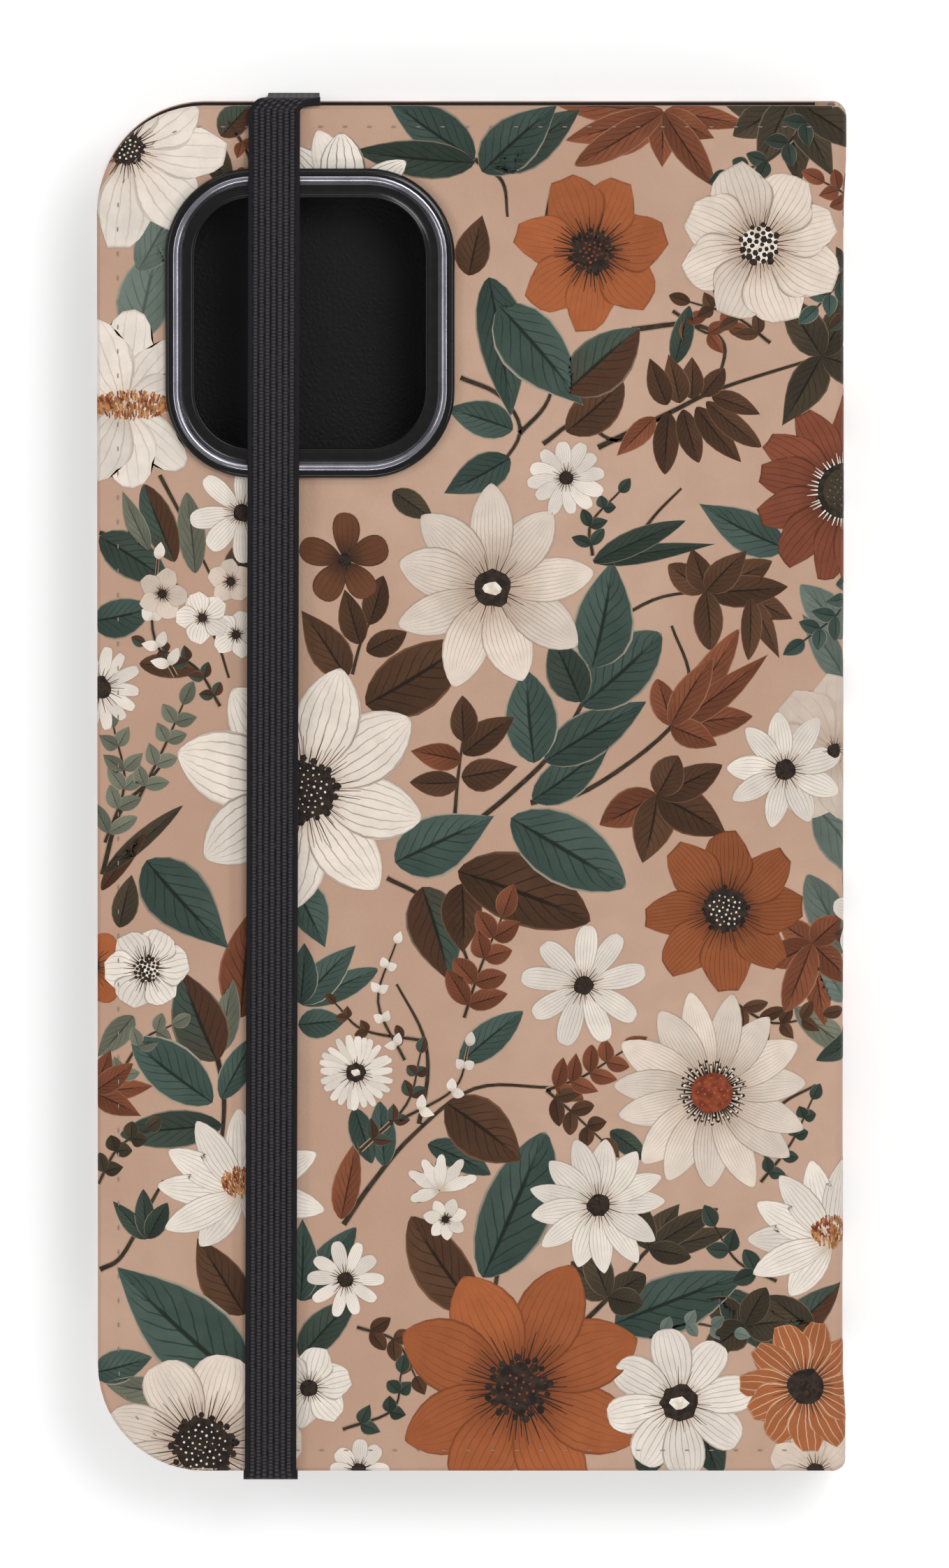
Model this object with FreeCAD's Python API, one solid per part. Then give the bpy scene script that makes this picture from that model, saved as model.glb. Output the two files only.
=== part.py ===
"""Folding phone case: a printed cover, a tray that grips the phone, and an elastic strap.

Millimetres. The case lies closed on its front cover. +Z points out through the back cover,
+Y towards the end with the camera window, and +X towards the spine. The origin is on the
surface under the middle of the case.
"""

import FreeCAD, Part
import math
import os

V = FreeCAD.Vector

# The phone that the tray grips. The cover and the tray are sized around it.
PHONE_WIDTH = 71.5
PHONE_LENGTH = 146.7
PHONE_DEPTH = 7.7
PHONE_CORNER = 11.0
PHONE_FIT = 0.1  # free space beside the phone, on each side
PHONE_REST_GAP = 0.2  # free space over the phone, in the tray's depth

# The tray, moulded in soft plastic, open towards the front cover.
TRAY_WALL = 1.5
TRAY_FLOOR = 1.0
TRAY_LIP = 0.9  # thickness of the lip that holds the phone in
LIP_REACH = 1.0  # how far the lip stands in over the phone's screen
TRAY_EDGE = 0.9  # rounding of the tray's outer edges
ADHESIVE = 0.2  # double-sided film that holds the tray on the back cover
ADHESIVE_INSET = 3.0

# The cover: an outer skin turned round a stiff board, with a thin lining inside.
SKIN = 0.7
BOARD = 0.9
LINING = 0.4
SKIN_TURN = 0.9  # width of skin turned down round the board's edge
LINING_INSET = 0.1
END_MARGIN = 2.15  # cover past the tray at the top and bottom ends
OPEN_MARGIN = 5.4  # cover past the tray at the side that opens
SPINE_GAP = 2.4  # tray to the inside of the spine
COVER_CORNER = 12.0

# The folds where the panels turn into the spine, as round beads on the two hinge lines.
FOLD_RADIUS = 1.6
FOLD_GAP = 0.15  # between a bead and the hollow edge of the panel that turns on it
FOLD_END = 0.6  # rounding of a bead's ends

# Pockets sewn on the front cover's lining.
POCKET_SHEET = 0.5
POCKET_SHEETS = ("cash_pocket", "card_slot_top", "card_slot_mid", "card_slot_low")  # lowest first
POCKET_MARGIN = 5.0  # from the opening edge and the ends of the cover
POCKET_CORNER = 3.0
POCKET_SEAM = 3.0  # sewn border that a card can't enter
MOUTH_MARGIN = 5.0  # the cash pocket's mouth to the lining's edge at the spine
SLOT_STEP = 10.0  # from one card slot's mouth to the next
CARD_LENGTH = 85.6
CARD_FIT = 1.2
POCKET_GAP = 0.3  # between the topmost sheet and the tray's lip

# The camera window and its rim.
WINDOW_WIDTH = 26.0
WINDOW_LENGTH = 28.3
WINDOW_CORNER = 6.5
WINDOW_FROM_SIDE = 17.0  # window's middle to the phone's side
WINDOW_FROM_TOP = 20.7  # window's middle to the phone's top
SLEEVE_WALL = 1.2
SLEEVE_FIT = 0.1
RIM_WIDTH = 3.3
RIM_PROUD = 1.1
RIM_EDGE = 0.5
RIM_STEP_WIDTH = 1.3
RIM_STEP_DEPTH = 0.45

# Button covers in the tray's side walls, and the openings beside them.
BUTTON_HEIGHT = 3.6
BUTTON_PROUD = 0.6
BUTTON_GAP = 0.25  # round each button cover
BUTTON_TRAVEL_GAP = 0.45  # behind each button cover
BUTTON_WEB = 0.4  # wall left behind the button cover
BUTTON_EDGE = 0.3
BUTTON_CORNER = 1.5
POWER_LENGTH = 17.0
POWER_FROM_TOP = 40.3
VOLUME_LENGTH = 10.5
VOLUME_UP_FROM_TOP = 37.7
VOLUME_DOWN_FROM_TOP = 51.5
SWITCH_LENGTH = 9.0
SWITCH_HEIGHT = 4.8
SWITCH_CORNER = 1.5
SWITCH_FROM_TOP = 23.4
PORT_LENGTH = 46.0
PORT_HEIGHT = 5.4
PORT_CORNER = 2.4

# The elastic strap, which runs round the back cover from end to end.
STRAP_WIDTH = 6.3
STRAP_THICK = 0.9
STRAP_FROM_EDGE = 16.55  # opening edge of the cover to the strap's near side
STRAP_CLEAR = 0.1  # between the strap and what it lies over
STRAP_BEND = 0.8  # rounding where it turns over the cover's ends
STRAP_SKEW = 2.1  # how far the strap's top anchor lies towards the spine
TAB_LENGTH = 12.0  # strap end glued between board and lining
TAB_THICK = 0.6
TAB_PROUD = 0.05

NEAR = 1e-6  # two lengths this close are the same
OVERCUT = 1.0  # how far a cutting block passes beyond the wall that it cuts

# Sizes worked out from those above.
cover = SKIN + BOARD + LINING
tray_width = PHONE_WIDTH + 2 * (PHONE_FIT + TRAY_WALL)
tray_length = PHONE_LENGTH + 2 * (PHONE_FIT + TRAY_WALL)
tray_corner = PHONE_CORNER + PHONE_FIT + TRAY_WALL
case_width = OPEN_MARGIN + tray_width + SPINE_GAP + cover
half_length = tray_length / 2 + END_MARGIN

open_x = -case_width / 2
spine_x = case_width / 2
tray_x = open_x + OPEN_MARGIN + tray_width / 2
hinge_x = spine_x - FOLD_RADIUS
panel_end = hinge_x - FOLD_RADIUS - FOLD_GAP

pocket_z = cover
lip_z = pocket_z + len(POCKET_SHEETS) * POCKET_SHEET + POCKET_GAP
cavity_z = lip_z + TRAY_LIP
seat_z = cavity_z + PHONE_DEPTH + PHONE_REST_GAP
tray_top = seat_z + TRAY_FLOOR
back_in = tray_top + ADHESIVE
back_out = back_in + cover
rim_top = back_out + RIM_PROUD
front_hinge_z = FOLD_RADIUS
back_hinge_z = back_out - FOLD_RADIUS

phone_top = PHONE_LENGTH / 2
phone_side = tray_x - PHONE_WIDTH / 2
window_x = phone_side + WINDOW_FROM_SIDE
window_y = phone_top - WINDOW_FROM_TOP
button_z = cavity_z + PHONE_DEPTH / 2
strap_x = open_x + STRAP_FROM_EDGE + STRAP_WIDTH / 2


def plate(x0, x1, y0, y1, z0, z1, left=0.0, right=None):
    """A flat sheet with its corners rounded, left at x0 and right at x1."""
    right = left if right is None else right
    diag = 1 - math.sqrt(0.5)
    corners = [(x1, y0, -1, 1, right), (x1, y1, -1, -1, right), (x0, y1, 1, -1, left), (x0, y0, 1, 1, left)]
    edges = []
    ends = []
    for index, (x, y, dx, dy, r) in enumerate(corners):
        along_x = V(x + dx * r, y, z0)
        along_y = V(x, y + dy * r, z0)
        first, last = (along_x, along_y) if index % 2 == 0 else (along_y, along_x)
        ends.append((first, last))
        if r > 0:
            middle = V(x + dx * r * diag, y + dy * r * diag, z0)
            edges.append(Part.Arc(first, middle, last).toShape())
    for (first, last), (following, _) in zip(ends, ends[1:] + ends[:1]):
        edges.append(Part.LineSegment(last, following).toShape())
    wire = Part.Wire(Part.__sortEdges__(edges))
    return Part.Face(wire).extrude(V(0, 0, z1 - z0))


def centred(x, y, width, length, z0, z1, corner):
    """A rounded plate about the point x, y."""
    return plate(x - width / 2, x + width / 2, y - length / 2, y + length / 2, z0, z1, corner)


def box(x0, x1, y0, y1, z0, z1):
    return Part.makeBox(x1 - x0, y1 - y0, z1 - z0, V(x0, y0, z0))


def rod(radius, z):
    """A round bar along a hinge line, the length of the case."""
    return Part.makeCylinder(radius, 2 * half_length, V(hinge_x, -half_length, z), V(0, 1, 0))


def edges_at(shape, z):
    """The edges that lie flat at height z."""
    return [e for e in shape.Edges if abs(e.BoundBox.ZMin - z) < NEAR and abs(e.BoundBox.ZMax - z) < NEAR]


def window(z0, z1, grow=0.0):
    """The camera window's space, grown on every side."""
    return centred(
        window_x,
        window_y,
        WINDOW_WIDTH + 2 * grow,
        WINDOW_LENGTH + 2 * grow,
        z0,
        z1,
        WINDOW_CORNER + grow,
    )


def sleeve_hole(z0, z1):
    """The hole that the rim's sleeve passes through."""
    return window(z0, z1, SLEEVE_WALL + SLEEVE_FIT)


def panel(outer_z, inward, hinge_z):
    """Skin, board and lining of one cover panel. The layers go inward (+1 up, -1 down) from outer_z."""

    def layer(near, far, inset, end, corner):
        z0, z1 = sorted((outer_z + inward * near, outer_z + inward * far))
        return plate(open_x + inset, end, inset - half_length, half_length - inset, z0, z1, corner, 0.0)

    board = layer(SKIN, SKIN + BOARD, SKIN_TURN, panel_end - SKIN_TURN, COVER_CORNER - SKIN_TURN)
    skin = layer(0, SKIN + BOARD, 0, hinge_x, COVER_CORNER)
    skin = skin.cut(rod(FOLD_RADIUS + FOLD_GAP, hinge_z)).cut(board)
    lining = layer(SKIN + BOARD, cover, LINING_INSET, panel_end - LINING_INSET, COVER_CORNER - LINING_INSET)
    return skin, board, lining


def strap_tab(end, x):
    """The strap's fixed end, glued between the front board and its lining. end is +1 at the top."""
    inner, outer = sorted((end * (half_length - TAB_LENGTH), end * (half_length + TAB_PROUD)))
    z1 = SKIN + BOARD
    return box(x - STRAP_WIDTH / 2, x + STRAP_WIDTH / 2, inner, outer, z1 - TAB_THICK, z1)


def front_cover():
    skin, board, lining = panel(0, 1, front_hinge_z)
    top_tab = strap_tab(1, strap_x + STRAP_SKEW)
    bottom_tab = strap_tab(-1, strap_x)
    for tab in (top_tab, bottom_tab):
        skin = skin.cut(tab)
        board = board.cut(tab)
    return {
        "front_skin": skin,
        "front_board": board,
        "front_lining": lining,
        "strap_end_top": top_tab,
        "strap_end_bottom": bottom_tab,
    }


def pockets():
    """The cash pocket's sheet, then three card slots laid on it like stairs, the lowest on top."""
    left = open_x + POCKET_MARGIN
    end = half_length - POCKET_MARGIN
    mouth = panel_end - LINING_INSET - MOUTH_MARGIN
    slot_end = end - CARD_LENGTH - 2 * (POCKET_SEAM + CARD_FIT)
    sheets = {}
    for index, name in enumerate(POCKET_SHEETS):
        z = pocket_z + index * POCKET_SHEET
        foot = -end if index == 0 else slot_end
        x1 = mouth - index * SLOT_STEP
        sheets[name] = plate(left, x1, foot, end, z, z + POCKET_SHEET, POCKET_CORNER, 0.0)
    return sheets


def spine():
    """The spine stands between the two beads, in the same three layers as the panels."""
    beads = {}
    for name, z in (("front_hinge_fold", front_hinge_z), ("back_hinge_fold", back_hinge_z)):
        bead = rod(FOLD_RADIUS, z)
        ends = [e for e in bead.Edges if isinstance(e.Curve, Part.Circle)]
        beads[name] = bead.makeFillet(FOLD_END, ends)
    low, high = front_hinge_z, back_hinge_z
    tip = FOLD_RADIUS + SKIN_TURN
    board = box(
        spine_x - SKIN - BOARD,
        spine_x - SKIN,
        SKIN_TURN - half_length,
        half_length - SKIN_TURN,
        low + tip,
        high - tip,
    )
    skin = box(spine_x - SKIN - BOARD, spine_x, -half_length, half_length, low, high)
    skin = skin.cut(rod(FOLD_RADIUS, low)).cut(rod(FOLD_RADIUS, high)).cut(board)
    lining = box(
        spine_x - cover,
        spine_x - SKIN - BOARD,
        LINING_INSET - half_length,
        half_length - LINING_INSET,
        low + FOLD_RADIUS + LINING_INSET,
        high - FOLD_RADIUS - LINING_INSET,
    )
    return {"spine_skin": skin, "spine_board": board, "spine_lining": lining, **beads}


def back_cover():
    skin, board, lining = panel(back_out, -1, back_hinge_z)
    hole = sleeve_hole(back_in, back_out)
    film = centred(
        tray_x,
        0,
        tray_width - 2 * ADHESIVE_INSET,
        tray_length - 2 * ADHESIVE_INSET,
        tray_top,
        back_in,
        tray_corner - ADHESIVE_INSET,
    )
    return {
        "back_skin": skin.cut(hole),
        "back_board": board.cut(hole),
        "back_lining": lining.cut(hole),
        "tray_adhesive": film.cut(sleeve_hole(tray_top, back_in)),
    }


def camera_rim():
    """A flange on the back skin, stepped down to the window, on a sleeve that stands on the tray."""
    flange = window(back_out, rim_top, RIM_WIDTH)
    flange = flange.makeFillet(RIM_EDGE, edges_at(flange, rim_top))
    step_z = rim_top - RIM_STEP_DEPTH
    rim = flange.cut(window(step_z, rim_top, RIM_STEP_WIDTH))
    rim = rim.fuse(window(tray_top, back_out, SLEEVE_WALL))
    rim = rim.cut(window(tray_top, rim_top))
    return {"camera_rim": rim.removeSplitter()}


# Each button: name, side (-1 opening side, +1 spine side), middle from the phone's top, length.
BUTTONS = [
    ("power_button_cover", -1, POWER_FROM_TOP, POWER_LENGTH),
    ("volume_up_cover", 1, VOLUME_UP_FROM_TOP, VOLUME_LENGTH),
    ("volume_down_cover", 1, VOLUME_DOWN_FROM_TOP, VOLUME_LENGTH),
]


def side_block(side, depth0, depth1, middle, length, height, edge):
    """A block in the tray's side wall between two depths from its outer face, with rounded ends."""
    face = tray_x + side * tray_width / 2
    x0, x1 = sorted((face - side * depth0, face - side * depth1))
    y = phone_top - middle
    block = box(x0, x1, y - length / 2, y + length / 2, button_z - height / 2, button_z + height / 2)
    across = [e for e in block.Edges if abs(e.BoundBox.XLength - (x1 - x0)) < NEAR]
    return block.makeFillet(edge, across)


def buttons():
    covers = {}
    pocket = TRAY_WALL - BUTTON_WEB
    for name, side, middle, length in BUTTONS:
        depth = pocket - BUTTON_TRAVEL_GAP
        cap = side_block(side, -BUTTON_PROUD, depth, middle, length, BUTTON_HEIGHT, BUTTON_CORNER)
        outer_x = cap.BoundBox.XMin if side < 0 else cap.BoundBox.XMax
        rim = [
            e
            for e in cap.Edges
            if abs(e.BoundBox.XMin - outer_x) < NEAR and abs(e.BoundBox.XMax - outer_x) < NEAR
        ]
        covers[name] = cap.makeFillet(BUTTON_EDGE, rim)
    return covers


def phone_tray():
    tray = centred(tray_x, 0, tray_width, tray_length, lip_z, tray_top, tray_corner)
    tray = tray.makeFillet(TRAY_EDGE, edges_at(tray, tray_top) + edges_at(tray, lip_z))
    hold = 2 * PHONE_FIT
    cavity = centred(
        tray_x,
        0,
        PHONE_WIDTH + hold,
        PHONE_LENGTH + hold,
        cavity_z,
        seat_z,
        PHONE_CORNER + PHONE_FIT,
    )
    mouth = centred(
        tray_x,
        0,
        PHONE_WIDTH + hold - 2 * LIP_REACH,
        PHONE_LENGTH + hold - 2 * LIP_REACH,
        lip_z,
        cavity_z,
        PHONE_CORNER + PHONE_FIT - LIP_REACH,
    )
    tray = tray.cut(cavity).cut(mouth).cut(window(seat_z, tray_top))
    room = 2 * BUTTON_GAP
    for _, side, middle, length in BUTTONS:
        pocket = side_block(
            side,
            -OVERCUT,
            TRAY_WALL - BUTTON_WEB,
            middle,
            length + room,
            BUTTON_HEIGHT + room,
            BUTTON_CORNER + BUTTON_GAP,
        )
        tray = tray.cut(pocket)
    switch = side_block(
        1,
        -OVERCUT,
        TRAY_WALL + OVERCUT,
        SWITCH_FROM_TOP,
        SWITCH_LENGTH,
        SWITCH_HEIGHT,
        SWITCH_CORNER,
    )
    half_port = PORT_LENGTH / 2
    port = box(
        tray_x - half_port,
        tray_x + half_port,
        -tray_length / 2 - OVERCUT,
        -tray_length / 2 + TRAY_WALL + OVERCUT,
        button_z - PORT_HEIGHT / 2,
        button_z + PORT_HEIGHT / 2,
    )
    along = [e for e in port.Edges if abs(e.BoundBox.YLength - (TRAY_WALL + 2 * OVERCUT)) < NEAR]
    port = port.makeFillet(PORT_CORNER, along)
    return {"phone_tray": tray.cut(switch).cut(port)}


def elastic_strap():
    """A band over the back cover and the rim, with a leg down each end of the case."""
    rim_low = window_y - WINDOW_LENGTH / 2 - RIM_WIDTH
    rim_high = window_y + WINDOW_LENGTH / 2 + RIM_WIDTH
    end = half_length + STRAP_CLEAR
    foot = SKIN + BOARD - TAB_THICK
    over_skin = back_out + STRAP_CLEAR
    over_rim = rim_top + STRAP_CLEAR
    t = STRAP_THICK
    under = [(-end, over_skin), (rim_low, over_rim), (rim_high, over_rim), (end, over_skin)]
    above = [(end + t, over_skin + t), (rim_high, over_rim + t), (rim_low, over_rim + t)]
    above = above + [(-end - t, over_skin + t)]
    low_leg = [(-end - t, foot), (-end, foot)]
    x0 = strap_x - STRAP_WIDTH / 2
    points = [V(x0, y, z) for y, z in under + [(end, over_skin - t), (end + t, over_skin - t)] + above]
    points = points + [V(x0, y, z) for y, z in low_leg]
    band = Part.Face(Part.makePolygon(points + points[:1])).extrude(V(STRAP_WIDTH, 0, 0))
    skewed = [
        V(x0, end, over_skin - t),
        V(x0 + STRAP_WIDTH, end, over_skin - t),
        V(x0 + STRAP_WIDTH + STRAP_SKEW, end, foot),
        V(x0 + STRAP_SKEW, end, foot),
    ]
    leg = Part.Face(Part.makePolygon(skewed + skewed[:1])).extrude(V(0, t, 0))
    strap = band.fuse(leg).removeSplitter()
    bends = []
    for edge in strap.Edges:
        middle = edge.BoundBox.Center
        across = edge.BoundBox.XLength > STRAP_WIDTH - NEAR and edge.BoundBox.ZLength < NEAR
        if across and abs(middle.z - over_skin - t) < NEAR and abs(abs(middle.y) - end - t) < NEAR:
            bends.append(edge)
    return {"elastic_strap": strap.makeFillet(STRAP_BEND, bends)}


def main():
    os.makedirs("parts", exist_ok=True)
    nodes = {}
    for make in (front_cover, pockets, spine, back_cover, camera_rim, phone_tray, buttons, elastic_strap):
        nodes.update(make())
    for name, shape in nodes.items():
        solid = shape.Solids[0] if len(shape.Solids) == 1 else shape
        print(f"{name:20s} solids {len(shape.Solids)} valid {shape.isValid()} volume {shape.Volume:10.2f}")
        solid.exportStep(f"parts/{name}.step")


main()
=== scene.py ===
import math

import bpy
import numpy as np
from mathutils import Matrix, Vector


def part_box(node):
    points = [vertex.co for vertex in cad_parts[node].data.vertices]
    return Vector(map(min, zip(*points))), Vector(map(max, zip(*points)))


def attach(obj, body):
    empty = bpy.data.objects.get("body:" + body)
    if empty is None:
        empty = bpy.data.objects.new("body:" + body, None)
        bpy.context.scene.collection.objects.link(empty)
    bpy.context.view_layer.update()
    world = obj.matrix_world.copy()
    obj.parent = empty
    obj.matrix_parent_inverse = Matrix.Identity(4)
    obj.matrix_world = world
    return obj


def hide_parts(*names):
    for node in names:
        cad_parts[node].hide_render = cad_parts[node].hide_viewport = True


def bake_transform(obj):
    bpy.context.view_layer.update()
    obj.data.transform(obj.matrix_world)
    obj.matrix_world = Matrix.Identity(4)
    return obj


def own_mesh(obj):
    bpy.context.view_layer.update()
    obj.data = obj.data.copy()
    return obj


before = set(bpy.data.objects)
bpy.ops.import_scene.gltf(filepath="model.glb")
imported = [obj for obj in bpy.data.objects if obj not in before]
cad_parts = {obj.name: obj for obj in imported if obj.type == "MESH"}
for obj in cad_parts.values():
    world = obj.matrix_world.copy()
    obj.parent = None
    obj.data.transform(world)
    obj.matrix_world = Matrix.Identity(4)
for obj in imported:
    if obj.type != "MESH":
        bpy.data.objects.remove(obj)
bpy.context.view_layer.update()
MM = 0.001


# The camera looks almost straight down on the back cover, from far off through a long lens.
# It leans three and a half degrees towards the top of the case.
back_low, back_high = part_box("back_skin")
open_x = back_low.x / MM
half_length = back_high.y / MM
back_out = back_high.z / MM
LENS = 600
SENSOR = 36
VIEW_LENGTH = 176.8
TILT = math.radians(3.5)
aim = Vector((0.28, 0.63, back_out)) * MM
distance = VIEW_LENGTH * MM * LENS / SENSOR
place = aim + Vector((0, math.sin(TILT), math.cos(TILT))) * distance
bpy.ops.object.camera_add(location=place, rotation=(-TILT, 0, 0))
camera = bpy.context.object
camera.data.sensor_fit = "VERTICAL"
camera.data.sensor_height = SENSOR
camera.data.lens = LENS
camera.data.clip_end = 30
bpy.context.scene.camera = camera
bpy.context.scene.view_settings.view_transform = "Standard"


# A white table under an even sky. It looks white to the camera and still takes the case's shadow.
# One soft box at the upper right throws the shadow, and four long ones stand round the case.
def colour(red, green, blue):
    """A colour given as it looks on a screen, made linear."""
    shares = [v / 255 for v in (red, green, blue)]
    return [s / 12.92 if s <= 0.04045 else ((s + 0.055) / 1.055) ** 2.4 for s in shares] + [1.0]


def link(tree, socket, value):
    """Feeds a socket from another node's socket, or sets it."""
    if isinstance(value, bpy.types.NodeSocket):
        tree.links.new(value, socket)
    else:
        socket.default_value = value


def calc(tree, operation, *values, clamp=False):
    node = tree.nodes.new("ShaderNodeMath")
    node.operation = operation
    node.use_clamp = clamp
    for socket, value in zip(node.inputs, values):
        link(tree, socket, value)
    return node.outputs[0]


TABLE_GLOW = 0.32
SKY = 0.38
bpy.ops.mesh.primitive_plane_add(size=12, location=(0, 0, -0.00002))
floor = bpy.context.object
floor.name = "table"
table = bpy.data.materials.new("white_table")
table.use_nodes = True
tree = table.node_tree
shader = tree.nodes["Principled BSDF"]
shader.inputs["Base Color"].default_value = (0.88, 0.88, 0.88, 1)
shader.inputs["Roughness"].default_value = 0.9
shader.inputs["Specular IOR Level"].default_value = 0.0
path = tree.nodes.new("ShaderNodeLightPath")
seen = calc(tree, "MAXIMUM", path.outputs["Is Camera Ray"], path.outputs["Is Glossy Ray"])
shader.inputs["Emission Color"].default_value = (1, 1, 1, 1)
link(tree, shader.inputs["Emission Strength"], calc(tree, "MULTIPLY", seen, TABLE_GLOW))
floor.data.materials.append(table)

world = bpy.data.worlds.new("even_sky")
bpy.context.scene.world = world
world.use_nodes = True
tree = world.node_tree
sky = tree.nodes["Background"]
path = tree.nodes.new("ShaderNodeLightPath")
white_to_camera = calc(tree, "MULTIPLY_ADD", path.outputs["Is Camera Ray"], 1 - SKY, SKY)
link(tree, sky.inputs["Strength"], white_to_camera)
sky.inputs["Color"].default_value = (1, 1, 1, 1)
# Soft boxes, by place, width, length and power. The long ones, low at the sides, draw the
# highlights on the camera rim. None of them is seen itself.
for place, wide, long, energy in (
    ((0.42, 0.46, 1.3), 0.5, 0.5, 5.4),
    ((1.0, 0.05, 0.86), 0.9, 0.12, 2.6),
    ((-1.0, -0.05, 0.95), 1.2, 0.34, 3.2),
    ((0.05, -1.0, 0.86), 0.9, 0.12, 3.0),
    ((0.0, 1.0, 1.0), 1.2, 0.34, 2.6),
):
    bpy.ops.object.light_add(type="AREA", location=place)
    lamp = bpy.context.object
    lamp.data.shape = "RECTANGLE"
    lamp.data.size = wide
    lamp.data.size_y = long
    lamp.data.energy = energy
    lamp.rotation_euler = Vector(place).to_track_quat("Z", "Y").to_euler()
    lamp.visible_camera = False


# The printed faux leather is one sheet, wrapped round both covers and the spine. It is laid out flat
# here: u runs across the back cover, over the back fold, down the spine, over the front fold and back.
# Each cover's skin turns down round the board.
hinge_x = 40.65
front_hinge_z = 1.6
back_hinge_z = 14.7
BEND = 1.5
FOLD_STEPS = 12
SKIN = 0.58
SKIN_WALL = 1.58
CORNER = 12.0
CORNER_STEPS = 14
EDGE = 0.35
fold_length = BEND * math.pi / 2
spine_length = back_hinge_z - front_hinge_z
fold_starts = hinge_x
spine_starts = fold_starts + fold_length
front_fold_starts = spine_starts + spine_length
front_starts = front_fold_starts + fold_length
front_ends = front_starts + hinge_x - open_x
WAIST_ROWS = [66.0, 71.0, 75.9, 76.4, 76.75, 77.0, 77.1]
WAIST_IN = [0.3, 0.0, 0.0, 0.11, 0.35, 0.72, 1.2]


def wrapped(u, v, lift):
    """Points of the flat sheet, in mm, where they are on the closed case."""
    waist = np.interp(np.abs(v), WAIST_ROWS, WAIST_IN)
    x = u.copy()
    z = back_hinge_z + BEND + lift
    for start, hinge_z, turn in ((fold_starts, back_hinge_z, 0), (front_fold_starts, front_hinge_z, 1)):
        angle = np.clip((u - start) / BEND, 0, math.pi / 2) + turn * math.pi / 2
        radius = BEND + lift - waist * np.sin(angle)
        on = (u > start) & (u <= start + fold_length)
        x = np.where(on, hinge_x + radius * np.sin(angle), x)
        z = np.where(on, hinge_z + radius * np.cos(angle), z)
    on = (u > spine_starts) & (u <= front_fold_starts)
    x = np.where(on, hinge_x + BEND + lift - waist, x)
    z = np.where(on, back_hinge_z - (u - spine_starts), z)
    on = u > front_starts
    x = np.where(on, hinge_x - (u - front_starts), x)
    z = np.where(on, front_hinge_z - BEND - lift, z)
    return np.stack([x, v, z], 1) * MM


def points_of(piece):
    found = np.zeros(len(piece.data.vertices) * 3)
    piece.data.vertices.foreach_get("co", found)
    return found.reshape(-1, 3)


def place_points(piece, points):
    piece.data.vertices.foreach_set("co", points.ravel())
    piece.data.update()


def only(piece):
    """Selects one piece and nothing else."""
    bpy.ops.object.select_all(action="DESELECT")
    bpy.context.view_layer.objects.active = piece
    piece.select_set(True)


def edit(piece, kind="FACE", pick=None):
    """Opens a piece for editing, with what pick says of each face, edge or vertex selected."""
    only(piece)
    bpy.ops.object.mode_set(mode="EDIT")
    bpy.ops.mesh.select_mode(type="VERT")
    bpy.ops.mesh.select_all(action="DESELECT")
    bpy.ops.mesh.select_mode(type=kind)
    bpy.ops.object.mode_set(mode="OBJECT")
    parts = {"VERT": piece.data.vertices, "EDGE": piece.data.edges, "FACE": piece.data.polygons}[kind]
    for part in parts:
        if pick is None or pick(part):
            part.select = True
    bpy.ops.object.mode_set(mode="EDIT")


def close_edit():
    bpy.ops.object.mode_set(mode="OBJECT")


def drop_faces(piece, pick):
    """Deletes the faces that pick says."""
    edit(piece, "FACE", pick)
    bpy.ops.mesh.delete(type="FACE")
    close_edit()


def flip(piece):
    edit(piece)
    bpy.ops.mesh.flip_normals()
    close_edit()


def face_outwards(piece):
    edit(piece)
    bpy.ops.mesh.normals_make_consistent(inside=False)
    close_edit()


def outline(name, x0, x1, y0, y1, z, left, right=None):
    """A flat face at height z, with its left and right corners rounded."""
    right = left if right is None else right
    bpy.ops.object.select_all(action="DESELECT")
    bpy.ops.mesh.primitive_plane_add(size=1)
    piece = bpy.context.object
    piece.name = name
    points = points_of(piece)
    points[:, 0] = np.where(points[:, 0] < 0, x0, x1) * MM
    points[:, 1] = np.where(points[:, 1] < 0, y0, y1) * MM
    points[:, 2] = z * MM
    place_points(piece, points)
    middle = (x0 + x1) / 2 * MM
    for radius, side in ((left, -1), (right, 1)):
        if radius > 0:
            edit(piece, "VERT", lambda p: (p.co.x - middle) * side > 0)
            bpy.ops.mesh.bevel(offset=radius * MM, segments=CORNER_STEPS, affect="VERTICES")
            close_edit()
    return piece


def finished(piece, *modifiers):
    """Adds modifiers in turn and applies each."""
    only(piece)
    for kind, settings in modifiers:
        modifier = piece.modifiers.new(kind, kind)
        for setting, value in settings.items():
            setattr(modifier, setting, value)
        bpy.ops.object.modifier_apply(modifier=modifier.name)
    return piece


def smooth(piece, degrees=35):
    only(piece)
    bpy.ops.object.shade_smooth_by_angle(angle=math.radians(degrees))


def paint(name, rough, specular):
    """A new material, its node tree and its main shader."""
    made = bpy.data.materials.new(name)
    made.use_nodes = True
    main = made.node_tree.nodes["Principled BSDF"]
    main.inputs["Roughness"].default_value = rough
    main.inputs["Specular IOR Level"].default_value = specular
    return made, made.node_tree, main


def noise(tree, scale, detail, stretch=None):
    """Noise in the piece's own space, with scale in cells a metre."""
    place_node = tree.nodes.new("ShaderNodeTexCoord")
    where = place_node.outputs["Object"]
    if stretch:
        mapping = tree.nodes.new("ShaderNodeMapping")
        mapping.inputs["Scale"].default_value = stretch
        link(tree, mapping.inputs["Vector"], where)
        where = mapping.outputs["Vector"]
    node = tree.nodes.new("ShaderNodeTexNoise")
    link(tree, node.inputs["Vector"], where)
    node.inputs["Scale"].default_value = scale
    node.inputs["Detail"].default_value = detail
    return node.outputs["Fac"]


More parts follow.
